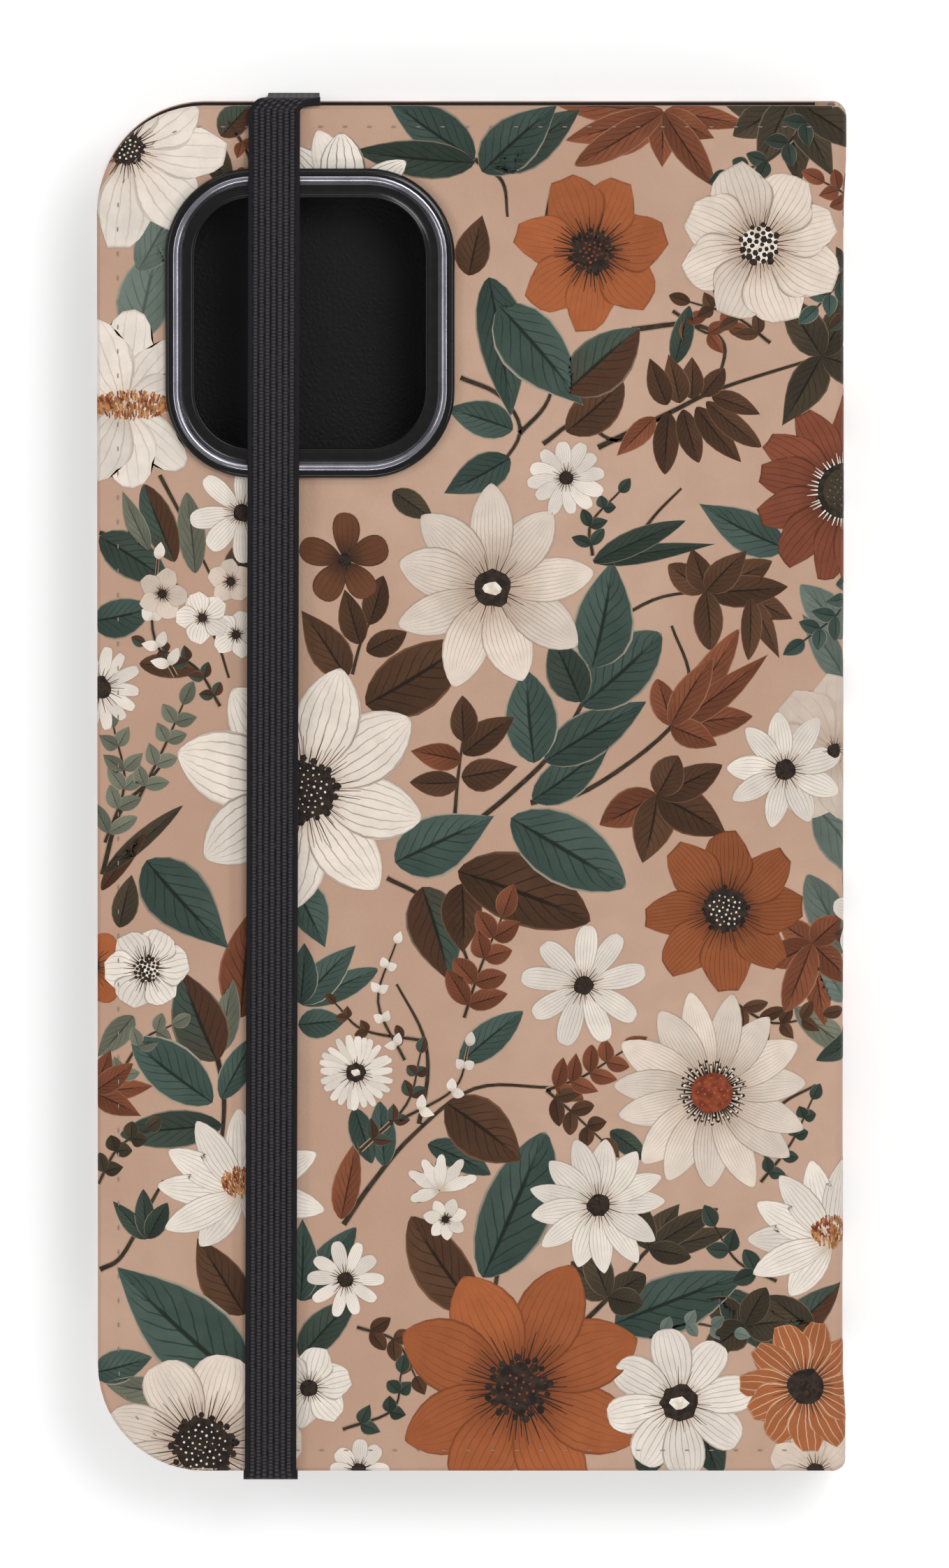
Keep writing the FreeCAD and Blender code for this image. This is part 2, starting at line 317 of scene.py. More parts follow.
def span(tree, value, low, high, to_low=0.0, to_high=1.0):
    """A value brought from one range to another with soft ends."""
    node = tree.nodes.new("ShaderNodeMapRange")
    node.interpolation_type = "SMOOTHSTEP"
    for socket, number in zip(node.inputs, (value, low, high, to_low, to_high)):
        link(tree, socket, number)
    return node.outputs[0]


def blended(tree, share, first, second):
    node = tree.nodes.new("ShaderNodeMix")
    node.data_type = "RGBA"
    link(tree, node.inputs[0], share)
    link(tree, node.inputs[6], first)
    link(tree, node.inputs[7], second)
    return node.outputs[2]


def two_tone(tree, main, share, first, second):
    """A base colour that runs from one colour to another by a share."""
    link(tree, main.inputs["Base Color"], blended(tree, share, colour(*first), colour(*second)))


def raised(tree, main, height, depth, strength):
    """Relief of the given depth in mm."""
    node = tree.nodes.new("ShaderNodeBump")
    node.inputs["Distance"].default_value = depth * MM
    node.inputs["Strength"].default_value = strength
    link(tree, node.inputs["Height"], height)
    link(tree, main.inputs["Normal"], node.outputs["Normal"])


def leather_grain(tree, main, depth=0.03, cell=1500):
    """Fine pebbled grain of coated leather, with a slow unevenness under it."""
    place_node = tree.nodes.new("ShaderNodeTexCoord")
    cells = tree.nodes.new("ShaderNodeTexVoronoi")
    cells.feature = "DISTANCE_TO_EDGE"
    cells.inputs["Scale"].default_value = cell
    link(tree, cells.inputs["Vector"], place_node.outputs["Object"])
    pebble = span(tree, cells.outputs["Distance"], 0.0, 0.35)
    height = calc(tree, "MULTIPLY_ADD", noise(tree, 320, 3), 1.2, pebble)
    raised(tree, main, height, depth, 0.5)


ground, tree, shader = paint("printed_ground", 0.55, 0.14)
wash = noise(tree, 28, 2)
fine = noise(tree, 260, 4)
base = blended(tree, span(tree, wash, 0.35, 0.65), colour(187, 152, 130), colour(196, 163, 142))
tone = blended(tree, span(tree, fine, 0.3, 0.75, 0.0, 0.35), base, colour(180, 145, 123))
link(tree, shader.inputs["Base Color"], tone)
leather_grain(tree, shader)


def cover_skin(name):
    """A cover's printed skin: its face, rounded edge and the wall round the board."""
    top = back_hinge_z + BEND
    foot = back_out - SKIN_WALL
    skin = outline(name, open_x, hinge_x, -half_length, half_length, top, CORNER, 0)
    edit(skin)
    bpy.ops.mesh.extrude_region_move(TRANSFORM_OT_translate={"value": (0, 0, (foot - top) * MM)})
    bpy.ops.mesh.delete(type="ONLY_FACE")
    close_edit()
    hinge_end = (hinge_x - 0.01) * MM
    drop_faces(skin, lambda f: f.center.x > hinge_end)
    face_outwards(skin)

    def round_the_top(edge):
        ends = [skin.data.vertices[i].co for i in edge.vertices]
        return all(p.z > (top - 0.01) * MM for p in ends) and not all(p.x > hinge_end for p in ends)

    edit(skin, "EDGE", round_the_top)
    bpy.ops.mesh.bevel(offset=EDGE * MM, segments=1, affect="EDGES")
    close_edit()
    if sum(f.normal.z * f.area for f in skin.data.polygons) < 0:
        flip(skin)
    finished(skin, ("SOLIDIFY", {"thickness": SKIN * MM, "offset": -1}))
    skin.data.materials.append(ground)
    return skin


# Window in the back skin, for the rim's sleeve.
rim_low, rim_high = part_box("camera_rim")
rim_x = (rim_low.x + rim_high.x) / 2 / MM
rim_y = (rim_low.y + rim_high.y) / 2 / MM
rim_wide = (rim_high.x - rim_low.x) / MM
rim_long = (rim_high.y - rim_low.y) / MM
RIM_CORNER = 9.8
SLEEVE_IN = 2.0


def rim_outline(name, inset, z):
    half_wide = rim_wide / 2 - inset
    half_long = rim_long / 2 - inset
    sides = (rim_x - half_wide, rim_x + half_wide, rim_y - half_long, rim_y + half_long)
    return outline(name, *sides, z, RIM_CORNER - inset)


back_wrap = cover_skin("back_wrap")
cutter = rim_outline("window_cutter", SLEEVE_IN, 10)
edit(cutter)
bpy.ops.mesh.extrude_region_move(TRANSFORM_OT_translate={"value": (0, 0, 0.01)})
bpy.ops.mesh.select_all(action="SELECT")
bpy.ops.mesh.normals_make_consistent(inside=False)
close_edit()
finished(back_wrap, ("BOOLEAN", {"object": cutter, "operation": "DIFFERENCE", "solver": "EXACT"}))
bpy.data.objects.remove(cutter)
smooth(back_wrap)
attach(back_wrap, "back_cover")
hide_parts("back_skin")

front_wrap = cover_skin("front_wrap")
points = points_of(front_wrap)
points[:, 2] = back_out * MM - points[:, 2]
place_points(front_wrap, points)
flip(front_wrap)
smooth(front_wrap)
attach(front_wrap, "front_cover")
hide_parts("front_skin")


def sheet_rows():
    """Where the bent parts of the sheet have rows: at each change of the spine's waist."""
    ends = sorted([-r for r in WAIST_ROWS] + WAIST_ROWS)
    return np.array(sorted(ends + list(np.linspace(-60, 60, 13))))


def bent_sheet(name, start, length, steps):
    """A strip of the sheet, with its real thickness, wrapped where it goes."""
    rows = sheet_rows()
    bpy.ops.object.select_all(action="DESELECT")
    bpy.ops.mesh.primitive_grid_add(x_subdivisions=steps, y_subdivisions=len(rows) - 1, size=1)
    strip = bpy.context.object
    strip.name = name
    points = points_of(strip)
    across = np.rint((points[:, 0] + 0.5) * steps)
    row = np.rint((points[:, 1] + 0.5) * (len(rows) - 1)).astype(int)
    # A hair inside each limit, so that both ends bend as this strip does.
    u = np.clip(start + across * length / steps, start + 1e-5, start + length - 1e-5)
    place_points(strip, wrapped(u, rows[row], np.zeros(len(u))))
    finished(strip, ("SOLIDIFY", {"thickness": SKIN * MM, "offset": -1}))
    strip.data.materials.append(ground)
    smooth(strip)
    return strip


def bend_with(piece):
    """Bakes the piece's placement into its mesh."""
    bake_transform(piece)


spine_wrap = bent_sheet("spine_wrap", spine_starts, spine_length, 6)
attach(spine_wrap, "spine")
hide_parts("spine_skin")
back_fold = bent_sheet("back_fold", fold_starts, fold_length, FOLD_STEPS)
bend_with(back_fold)
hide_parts("back_hinge_fold")
front_fold = bent_sheet("front_fold", front_fold_starts, fold_length, FOLD_STEPS)
bend_with(front_fold)
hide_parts("front_hinge_fold")


# The print lies on the sheet as thin layers of ink, a hundredth of a millimetre and less apart:
# stems, then leaves, then flowers. Every petal, leaf, stem and seed is drawn flat, in mm, by formula.
rng = np.random.default_rng(7)
LAYER = 0.0058
INK_CLEAR = 0.004
inks = {}
ink_points, ink_faces, ink_of_face, ink_uv, ink_shade = [], [], [], [], []


def ink(name, rough=0.5):
    """A new ink, its node tree and shader, with u, v over a petal or leaf, the shade and grain."""
    made, tree, main = paint(name, rough, 0.14)
    inks[name] = (len(inks), made)
    uv_node = tree.nodes.new("ShaderNodeUVMap")
    uv_node.uv_map = "ink"
    parts = tree.nodes.new("ShaderNodeSeparateXYZ")
    link(tree, parts.inputs[0], uv_node.outputs[0])
    shade_node = tree.nodes.new("ShaderNodeAttribute")
    shade_node.attribute_name = "shade"
    leather_grain(tree, main)
    return tree, main, parts.outputs[0], parts.outputs[1], shade_node.outputs["Fac"]


def toned(tree, main, drawn, shade, weak):
    """Each petal or leaf is a little lighter or darker, and mottled as thin paint is."""
    mottle = span(tree, noise(tree, 480, 4), 0.3, 0.7, 0.93, 1.04)
    level = calc(tree, "MULTIPLY", mottle, span(tree, shade, 0, 1, weak, 1.06))
    node = tree.nodes.new("ShaderNodeVectorMath")
    node.operation = "SCALE"
    link(tree, node.inputs[0], drawn)
    link(tree, node.inputs["Scale"], level)
    link(tree, main.inputs["Base Color"], node.outputs[0])


def petal_ink(name, tip, root, line, lines, reach, strength, rim, fade):
    """Petals: pale at the tip, darker at the root, with fine lines that run to the root."""
    tree, main, u, v, shade = ink(name)
    tip, root, line = colour(*tip), colour(*root), colour(*line)
    wobble = noise(tree, 700, 2)
    body = blended(tree, span(tree, v, 0.0, reach, 0.85, 0.0), tip, root)
    across = calc(tree, "MULTIPLY_ADD", wobble, 0.35, calc(tree, "MULTIPLY", u, lines))
    ridge = calc(tree, "PINGPONG", across, 0.5)
    thin = span(tree, ridge, 0.02, 0.1, 1.0, 0.0)
    fading = span(tree, v, 0.15, 1.0, strength, strength * fade)
    body = blended(tree, calc(tree, "MULTIPLY", thin, fading), body, line)
    side = calc(tree, "ABSOLUTE", calc(tree, "MULTIPLY_ADD", u, 2.0, -1.0))
    border = calc(tree, "MAXIMUM", span(tree, side, 0.88, 1.0), span(tree, v, 0.965, 1.0))
    body = blended(tree, calc(tree, "MULTIPLY", border, rim), body, line)
    toned(tree, main, body, shade, 0.88)


def leaf_ink(name, light, dark, vein, border, veins=8, half=0.5):
    """Leaves: one half darker, a midrib, slanting veins and a thin pale outline."""
    tree, main, u, v, shade = ink(name)
    light, dark, vein, border = (colour(*c) for c in (light, dark, vein, border))
    wobble = noise(tree, 500, 2)
    side = calc(tree, "MULTIPLY_ADD", u, 2.0, -1.0)
    out = calc(tree, "ABSOLUTE", side)
    halves = span(tree, side, -0.15, 0.15, 0.0, half)
    halves = calc(tree, "MULTIPLY_ADD", noise(tree, 260, 3), 0.7, halves)
    body = blended(tree, calc(tree, "SUBTRACT", halves, 0.25, clamp=True), light, dark)
    body = blended(tree, span(tree, v, 0.0, 0.5, 0.5, 0.0), body, dark)
    slant = calc(tree, "SUBTRACT", calc(tree, "MULTIPLY", v, veins), calc(tree, "MULTIPLY", out, 2.6))
    slant = calc(tree, "MULTIPLY_ADD", wobble, 0.3, slant)
    rib = span(tree, calc(tree, "PINGPONG", slant, 0.5), 0.02, 0.11, 0.7, 0.0)
    rib = calc(tree, "MULTIPLY", rib, span(tree, out, 0.45, 0.95, 1.0, 0.15))
    body = blended(tree, rib, body, vein)
    midrib = span(tree, out, 0.03, 0.09, 0.95, 0.0)
    rib = calc(tree, "MULTIPLY", midrib, span(tree, v, 0.6, 0.95, 1.0, 0.2))
    body = blended(tree, rib, body, vein)
    edge = calc(tree, "MAXIMUM", span(tree, out, 0.9, 0.97), span(tree, v, 0.975, 1.0))
    body = blended(tree, calc(tree, "MULTIPLY", edge, 0.75), body, border)
    toned(tree, main, body, shade, 0.75)


def plain_ink(name, first, second, rough=0.5):
    tree, main, _, _, shade = ink(name, rough)
    speckle = span(tree, noise(tree, 1100, 3), 0.35, 0.65)
    body = blended(tree, speckle, colour(*first), colour(*second))
    toned(tree, main, body, shade, 0.85)


CREAM_LINE = (114, 90, 72)
# Petal inks, by colour at the tip, root and lines, the number of lines, how far the root's colour
# reaches, and the strength of the lines, the outline and the lines' far ends.
for petal in (
    ("cream", (231, 219, 206), (188, 164, 143), CREAM_LINE, 7, 0.35, 0.75, 0.45, 0.5),
    ("white", (232, 221, 209), (200, 180, 160), CREAM_LINE, 7, 0.35, 0.7, 0.45, 0.55),
    ("lined", (226, 211, 196), (180, 152, 130), CREAM_LINE, 11, 0.6, 0.75, 0.45, 0.4),
    ("rust", (166, 93, 54), (112, 58, 34), (92, 46, 28), 9, 0.5, 0.6, 0.45, 0.3),
    ("amber", (146, 82, 48), (96, 50, 28), (74, 38, 22), 12, 0.5, 0.8, 0.5, 0.7),
    ("brick", (132, 72, 50), (72, 38, 28), (66, 33, 24), 7, 0.55, 0.75, 0.55, 0.7),
    ("striped", (164, 96, 58), (106, 60, 38), (222, 194, 160), 5, 0.4, 0.8, 0.2, 0.7),
    ("umber", (104, 64, 42), (62, 40, 28), (48, 30, 22), 5, 0.6, 0.6, 0.5, 0.4),
    ("soft", (230, 218, 206), (208, 189, 172), CREAM_LINE, 5, 0.4, 0.4, 0.35, 0.4),
    ("penned", (236, 226, 214), (212, 194, 176), (66, 50, 40), 5, 0.3, 0.85, 0.8, 0.9),
    ("veiled", (214, 196, 180), (190, 165, 146), CREAM_LINE, 6, 0.5, 0.25, 0.2, 0.3),
):
    petal_ink(*petal)
# Leaf inks, by light and dark half, veins and outline.
for kind in (
    ("teal", (74, 91, 83), (50, 65, 59), (28, 37, 33), (176, 162, 142)),
    ("pine", (62, 74, 64), (42, 52, 45), (26, 32, 28), (150, 138, 118)),
    ("sage", (122, 124, 106), (98, 100, 86), (66, 66, 56), (172, 158, 138), 6),
    ("bark", (94, 64, 44), (66, 44, 30), (38, 26, 18), (128, 92, 68)),
    ("olive", (76, 64, 48), (52, 46, 36), (30, 26, 20), (120, 104, 82)),
    ("russet", (138, 80, 54), (100, 56, 36), (60, 34, 24), (168, 118, 90)),
    ("mixed", (64, 80, 70), (78, 50, 34), (32, 32, 26), (128, 116, 96), 8, 1.0),
    ("mist", (112, 124, 114), (92, 104, 96), (74, 84, 78), (160, 152, 136), 6),
):
    leaf_ink(*kind)
for plain in (
    ("soot", (36, 30, 27), (58, 46, 38), 0.45),
    ("twig", (48, 40, 33), (66, 52, 40)),
    ("stem_pale", (176, 146, 122), (160, 132, 110)),
    ("chalk", (238, 230, 218), (214, 200, 184)),
    ("ochre", (190, 132, 80), (146, 92, 54)),
    ("amber_line", (204, 150, 98), (176, 116, 68)),
    ("ember", (150, 72, 44), (112, 50, 34)),
    ("cocoa", (72, 48, 36), (48, 33, 26)),
):
    plain_ink(*plain)


def lay(name, points, faces, uv, level, shade):
    """Adds one drawn shape to the print, with level as its layer, one for all or one for each point."""
    start = sum(len(p) for p in ink_points)
    points = np.asarray(points, float)
    lift = INK_CLEAR + LAYER * (np.zeros(len(points)) + level)
    ink_points.append(np.column_stack([points, lift]))
    ink_faces.extend([tuple(start + i for i in face) for face in faces])
    ink_of_face.extend([inks[name][0]] * len(faces))
    ink_uv.append(np.asarray(uv, float))
    ink_shade.append(np.full(len(points), shade))


def grid_faces(wide, long):
    """Faces of a grid of wide by long cells, whose points run across first."""
    row = wide + 1
    return [
        (j * row + i, j * row + i + 1, (j + 1) * row + i + 1, (j + 1) * row + i)
        for j in range(long)
        for i in range(wide)
    ]


CLOSED = {
    "leaf": (0.68, 0.95),
    "oval": (0.72, 0.42),
    "point": (0.85, 0.78),
    "daisy": (0.42, 0.3),
    "broad": (0.85, 0.5),
}


def blade(name, base, tip, width, level, form, bend=0.0, lean=0.0, peak=1.0, cells=(6, 10)):
    """A petal or leaf from base to tip. Lean lifts its right side over the next one."""
    base, tip = np.asarray(base, float), np.asarray(tip, float)
    along = tip - base
    length = np.hypot(*along)
    along = along / length
    across = np.array([along[1], -along[0]])
    wide, long = cells
    # Points across are closer together near both sides.
    spread = np.sin(np.linspace(-1, 1, wide + 1) * math.pi / 2)
    side, far = (grid.ravel() for grid in np.meshgrid(spread, np.linspace(0, 1, long + 1)))
    if form in CLOSED:
        # Both ends close: the first number rounds the base and the second the tip.
        rise, fall = CLOSED[form]
        fall = fall * peak
        t = 0.5 - 0.5 * np.cos(math.pi * far)
        top = rise / (rise + fall)
        body = (t / top) ** rise * (np.clip(1 - t, 0, 1) / (1 - top)) ** fall
        reach = t
    else:
        # A fan from a narrow base to a broad end, scalloped on the notched ones.
        t = far
        body = 0.16 + 0.84 * np.sin(math.pi / 2 * np.minimum(1, t / 0.7)) ** 1.15
        body = body * (1 - 0.25 * np.clip((t - 0.7) / 0.3, 0, 1) ** 2)
        end = 0.72 + 0.28 * np.sqrt(np.clip(1 - side**2, 0, 1))
        if form == "notch":
            end = end - 0.03 * (1 + np.cos(side * math.pi * 2.6 + rng.uniform(-1.2, 1.2)))
        reach = t * end
    body = body * (1 + 0.12 * rng.uniform(-1, 1) * np.sign(side))
    spot = base + np.outer(reach * length, along)
    spot = spot + np.outer(side * width / 2 * body + bend * length * reach**2, across)
    uv = np.column_stack([(side + 1) / 2, t])
    level = level + lean * (side + 1) / 2
    lay(name, spot, grid_faces(wide, long), uv, level, rng.uniform(0, 1))


def disc(name, x, y, radius, level, ragged, corners, squeeze=1.0):
    """A spot of ink, round or with a ragged edge."""
    angle = np.arange(corners) * 2 * math.pi / corners
    size = radius * (1 + ragged * rng.uniform(-1, 1, corners))
    spot = np.column_stack([x + size * np.cos(angle), y + squeeze * size * np.sin(angle)])
    uv = 0.5 + 0.45 * np.column_stack([np.cos(angle), np.sin(angle)])
    lay(name, spot, [tuple(range(corners))], uv, level, rng.uniform(0, 1))


def strokes(name, x, y, count, inner, outer, width, level, jitter=0.25):
    """Fine strokes that run outward round a point, as stamens and shading lines do."""
    for k in range(count):
        angle = math.radians((k + rng.uniform(-0.4, 0.4)) * 360 / count)
        way = np.array([math.cos(angle), math.sin(angle)])
        over = np.array([way[1], -way[0]]) * width / 2
        near = np.array([x, y]) + way * inner
        far = np.array([x, y]) + way * outer * (1 + rng.uniform(-jitter, jitter))
        spot = [near - over, near + over, far + over * 0.3, far - over * 0.3]
        lay(name, spot, [(0, 1, 2, 3)], [(0, 0), (1, 0), (1, 1), (0, 1)], level, rng.uniform(0, 1))


def tuft(x, y, wide, high, count, level):
    """A cone of stamens seen from its side, as rows of short strokes."""
    for _ in range(count):
        dx = rng.uniform(-1, 1)
        dy = rng.uniform(-1, 1) * math.sqrt(1 - dx * dx)
        angle = math.pi / 2 - dx * 0.5 + rng.uniform(-0.35, 0.35)
        way = np.array([math.cos(angle), math.sin(angle)]) * 0.3
        over = np.array([way[1], -way[0]]) * 0.3
        spot = np.array([x + dx * wide / 2, y + dy * high / 2])
        name = str(rng.choice(["ochre", "ochre", "amber_line", "ember"]))
        points = [spot - way - over, spot - way + over, spot + way + over, spot + way - over]
        uv = [(0, 0), (1, 0), (1, 1), (0, 1)]
        lay(name, points, [(0, 1, 2, 3)], uv, level + rng.uniform(0, 1.5), rng.uniform(0, 1))


def seeds(name, x, y, count, radius, size, level, hollow=0.0):
    """Small beads set in the spiral of a flower's eye."""
    for k in range(count):
        share = hollow**2 + (1 - hollow**2) * (k + 0.5) / count
        angle = k * 2.39996
        reach = radius * math.sqrt(share)
        seed_x, seed_y = x + reach * math.cos(angle), y + reach * math.sin(angle)
        disc(name, seed_x, seed_y, size * rng.uniform(0.7, 1.2), level, 0.15, 6)


def eye(kind, x, y, radius, level):
    """The middle of a flower."""
    if kind == "seeded":
        strokes("cocoa", x, y, 40, radius * 0.8, radius * 1.75, 0.16, level)
        disc("soot", x, y, radius, level + 1, 0.07, 22)
        seeds("soot", x, y, 22, radius * 1.12, radius * 0.13, level + 1.5, 0.85)
        seeds("chalk", x, y, max(9, int(radius * 14)), radius * 0.82, 0.13, level + 2)
    elif kind == "beaded":
        strokes("cocoa", x, y, 36, radius * 0.6, radius * 1.6, 0.14, level)
        disc("chalk", x, y, radius * 0.9, level + 1, 0.05, 18)
        seeds("soot", x, y, 34, radius, radius * 0.16, level + 2)
    elif kind == "ragged":
        strokes("cocoa", x, y, 46, radius * 0.5, radius * 1.7, 0.26, level)
        disc("soot", x, y, radius * 0.85, level + 1, 0.2, 24)
        seeds("soot", x, y, 26, radius * 1.15, radius * 0.14, level + 1.5, 0.75)
        seeds("ember", x, y, 18, radius * 0.6, 0.16, level + 2)
    elif kind == "ringed":
        disc("soot", x, y, radius * 1.05, level, 0.05, 22)
        strokes("chalk", x, y, 44, radius * 0.98, radius * 1.3, 0.2, level + 1, 0.06)
        disc("olive", x, y, radius * 0.78, level + 2, 0.06, 18)
        seeds("sage", x, y, 26, radius * 0.66, 0.12, level + 3)
    elif kind == "red":
        strokes("soot", x, y, 60, radius * 0.9, radius * 1.6, 0.24, level, 0.12)
        seeds("soot", x, y, 44, radius * 1.6, 0.2, level + 1, 0.72)
        seeds("chalk", x, y, 40, radius * 1.5, 0.13, level + 2, 0.72)
        disc("ember", x, y, radius, level + 2.5, 0.06, 22)
        seeds("rust", x, y, 26, radius * 0.85, 0.14, level + 3)
    elif kind == "pale":
        strokes("cocoa", x, y, 22, radius * 0.6, radius * 1.6, 0.14, level)
        disc("soot", x, y, radius, level + 1, 0.1, 16)
        disc("chalk", x, y, radius * 0.5, level + 2, 0.15, 10, 0.7)
    else:
        strokes("cocoa", x, y, 24, radius * 0.6, radius * 1.8, 0.13, level)
        disc("soot", x, y, radius, level + 1, 0.1, 16)
        seeds("cocoa", x, y, 9, radius * 0.7, radius * 0.14, level + 2)


def flower(x, y, radius, petals, width, name, kind, heart, level, form, start=None):
    """Petals round an eye, each one's right side over the next."""
    start = rng.uniform(0, 360) if start is None else start
    for k in range(petals):
        angle = math.radians(start + 360 * k / petals + rng.uniform(-4, 4))
        way = np.array([math.cos(angle), math.sin(angle)])
        size = radius * (1 - 0.1 * rng.uniform(0, 1))
        centre = np.array([x, y])
        cells = (2, 8) if width < 1.3 else (6, 12)
        blade(
            name,
            centre + way * heart * 0.5,
            centre + way * size,
            width * (1 + 0.1 * rng.uniform(-1, 1)),
            level,
            form,
            0.06 * rng.uniform(-1, 1),
            2.0,
            1.0,
            cells,
        )
    eye(kind, x, y, heart, level + 2.5)


def line_through(route, steps=6):
    """A smooth line through a stem's points."""
    route = [np.asarray(p, float) for p in route]
    ends = [2 * route[0] - route[1]] + route + [2 * route[-1] - route[-2]]
    found = []
    for a, b, c, d in zip(ends, ends[1:], ends[2:], ends[3:]):
        for k in range(steps):
            t = k / steps
            square, cube = (2 * a - 5 * b + 4 * c - d) * t**2, (3 * b - a - 3 * c + d) * t**3
            found.append(0.5 * (2 * b + (c - a) * t + square + cube))
    return np.array(found + [route[-1]])


def stem(route, width, name="twig", level=1.0):
    """A tapering stem with a thin pale line down both its sides."""
    line = line_through(route)
    way = np.gradient(line, axis=0)
    way = way / np.hypot(way[:, 0], way[:, 1])[:, None]
    over = np.column_stack([way[:, 1], -way[:, 0]])
    taper = np.linspace(1, 0.5, len(line))[:, None]
    for ink_name, size, at in (("stem_pale", width + 0.28, level), (name, width, level + 1)):
        left, right = line - over * taper * size / 2, line + over * taper * size / 2
        spot = np.stack([left, right], 1).reshape(-1, 2)
        far = np.repeat(np.linspace(0, 1, len(line)), 2)
        uv = np.column_stack([np.tile([0, 1], len(line)), far])
        lay(ink_name, spot, grid_faces(1, len(line) - 1), uv, at, rng.uniform(0, 1))


def leaf(x0, y0, x1, y1, width, name, level=3.0):
    bend = rng.uniform(-0.1, 0.1)
    blade(name, (x0, y0), (x1, y1), width, level, "leaf", bend, 0.6, rng.uniform(0.75, 1.3))


def sprig(route, pairs, length, width, name, level):
    """A thin stem with leaves in pairs along it and one at its tip."""
    line = line_through(route, 12)
    stem(route, 0.35, "twig", level - 1.5)
    for k in range(pairs):
        at = int((k + 0.6) / (pairs + 0.2) * (len(line) - 2))
        here, ahead = line[at], line[at + 1]
        way = math.atan2(*(ahead - here)[::-1])
        size = length * (1 - 0.35 * k / pairs) * rng.uniform(0.85, 1.1)
        for side in (-1, 1):
            angle = way + side * math.radians(50 * rng.uniform(0.8, 1.15))
            tip = here + size * np.array([math.cos(angle), math.sin(angle)])
            leaf(*here, *tip, width, name, level + 0.4 * (k % 2) + 0.2 * side)
    ahead = line[-1] - line[-2]
    tip = line[-1] + ahead / np.hypot(*ahead) * length * 0.9
    leaf(*line[-1], *tip, width, name, level + 1)


# The back cover's flowers, by x and y, radius, petals, petal width, ink, kind and size of eye, layer and
# petal shape. A later layer lies over an earlier one.
for x, y, radius, petals, width, name, kind, heart, level, form, start in (
    (13.5, 60.7, 9.8, 7, 6.3, "rust", "ragged", 2.2, 8, "notch", 12),
    (32.4, 61.5, 10.0, 8, 7.0, "lined", "beaded", 2.3, 9, "notch", 20),
    (42.1, 33.7, 11.4, 13, 5.0, "brick", "ringed", 3.2, 8, "notch", 4),
    (10.6, 35.2, 4.5, 12, 1.7, "white", "plain", 0.8, 8, "oval", 8),
    (2.3, 22.7, 12.0, 9, 5.3, "lined", "pale", 2.1, 8, "point", 8),
    (-14.3, 25.9, 5.5, 5, 3.2, "umber", "plain", 0.8, 7, "oval", 20),
    (35.3, 2.2, 7.2, 9, 2.9, "white", "plain", 1.2, 8, "point", 15),
    (40.9, 4.4, 9.0, 7, 7.5, "veiled", "none", 0.8, 6, "notch", 30),
    (-18.9, -0.1, 15.0, 8, 7.8, "cream", "seeded", 3.3, 8, "point", 33),
    (28.6, -13.6, 10.0, 8, 5.7, "amber", "seeded", 2.3, 9, "notch", 0),
    (12.6, -22.1, 7.2, 9, 2.7, "white", "plain", 1.1, 8, "oval", 10),
    (27.1, -34.3, 11.8, 15, 4.1, "lined", "red", 2.3, 8, "point", 6),
    (-13.1, -32.0, 4.5, 24, 0.95, "white", "pale", 1.1, 8, "daisy", 0),
    (14.3, -47.0, 8.0, 13, 2.9, "white", "plain", 1.3, 8, "point", 0),
    (-14.3, -55.4, 4.5, 10, 1.6, "white", "plain", 0.9, 8, "oval", 0),
    (5.3, -67.7, 15.6, 8, 8.0, "rust", "ragged", 3.2, 8, "point", 22),
    (23.4, -69.4, 8.9, 8, 4.6, "white", "pale", 2.1, 9, "oval", 10),
    (37.7, -67.5, 8.0, 11, 4.4, "striped", "plain", 2.0, 10, "notch", 12),
    (-30.4, -74.4, 11.3, 9, 6.6, "lined", "seeded", 3.3, 8, "oval", 0),
    (-18.4, -67.7, 5.2, 6, 4.0, "white", "plain", 1.0, 7, "notch", 12),
    (-36.7, -20.3, 5.0, 6, 4.6, "white", "beaded", 1.5, 9, "notch", 5),
    (-43.4, -20.0, 5.0, 7, 3.6, "rust", "plain", 1.4, 7, "round", 0),
    (-25.9, 31.2, 6.0, 8, 2.5, "white", "plain", 1.0, 8, "oval", 0),
    (-42.0, 11.5, 4.9, 14, 1.4, "white", "plain", 1.3, 8, "daisy", 0),
    (-34.9, 22.1, 3.2, 5, 2.6, "veiled", "none", 0.5, 8, "notch", 0),
    (-30.4, 19.4, 3.2, 5, 2.7, "white", "none", 0.5, 8, "notch", 40),
    (-27.2, 23.5, 2.8, 5, 2.3, "veiled", "none", 0.5, 7, "notch", 20),
    (-26.6, 17.5, 3.0, 5, 2.4, "white", "none", 0.5, 7, "notch", 0),
    (38.8, -77.2, 6.0, 7, 4.4, "veiled", "none", 1.0, 7, "notch", 0),
    (-12.8, -77.0, 3.6, 8, 1.9, "white", "plain", 0.8, 8, "oval", 0),
    (-27.0, -79.0, 5.0, 9, 2.6, "veiled", "none", 0.8, 7, "oval", 0),
    (-3.0, -48.6, 2.6, 7, 1.5, "white", "none", 0.4, 8, "point", 20),
):
    flower(x, y, radius, petals, width, name, kind, heart, level, form, start)

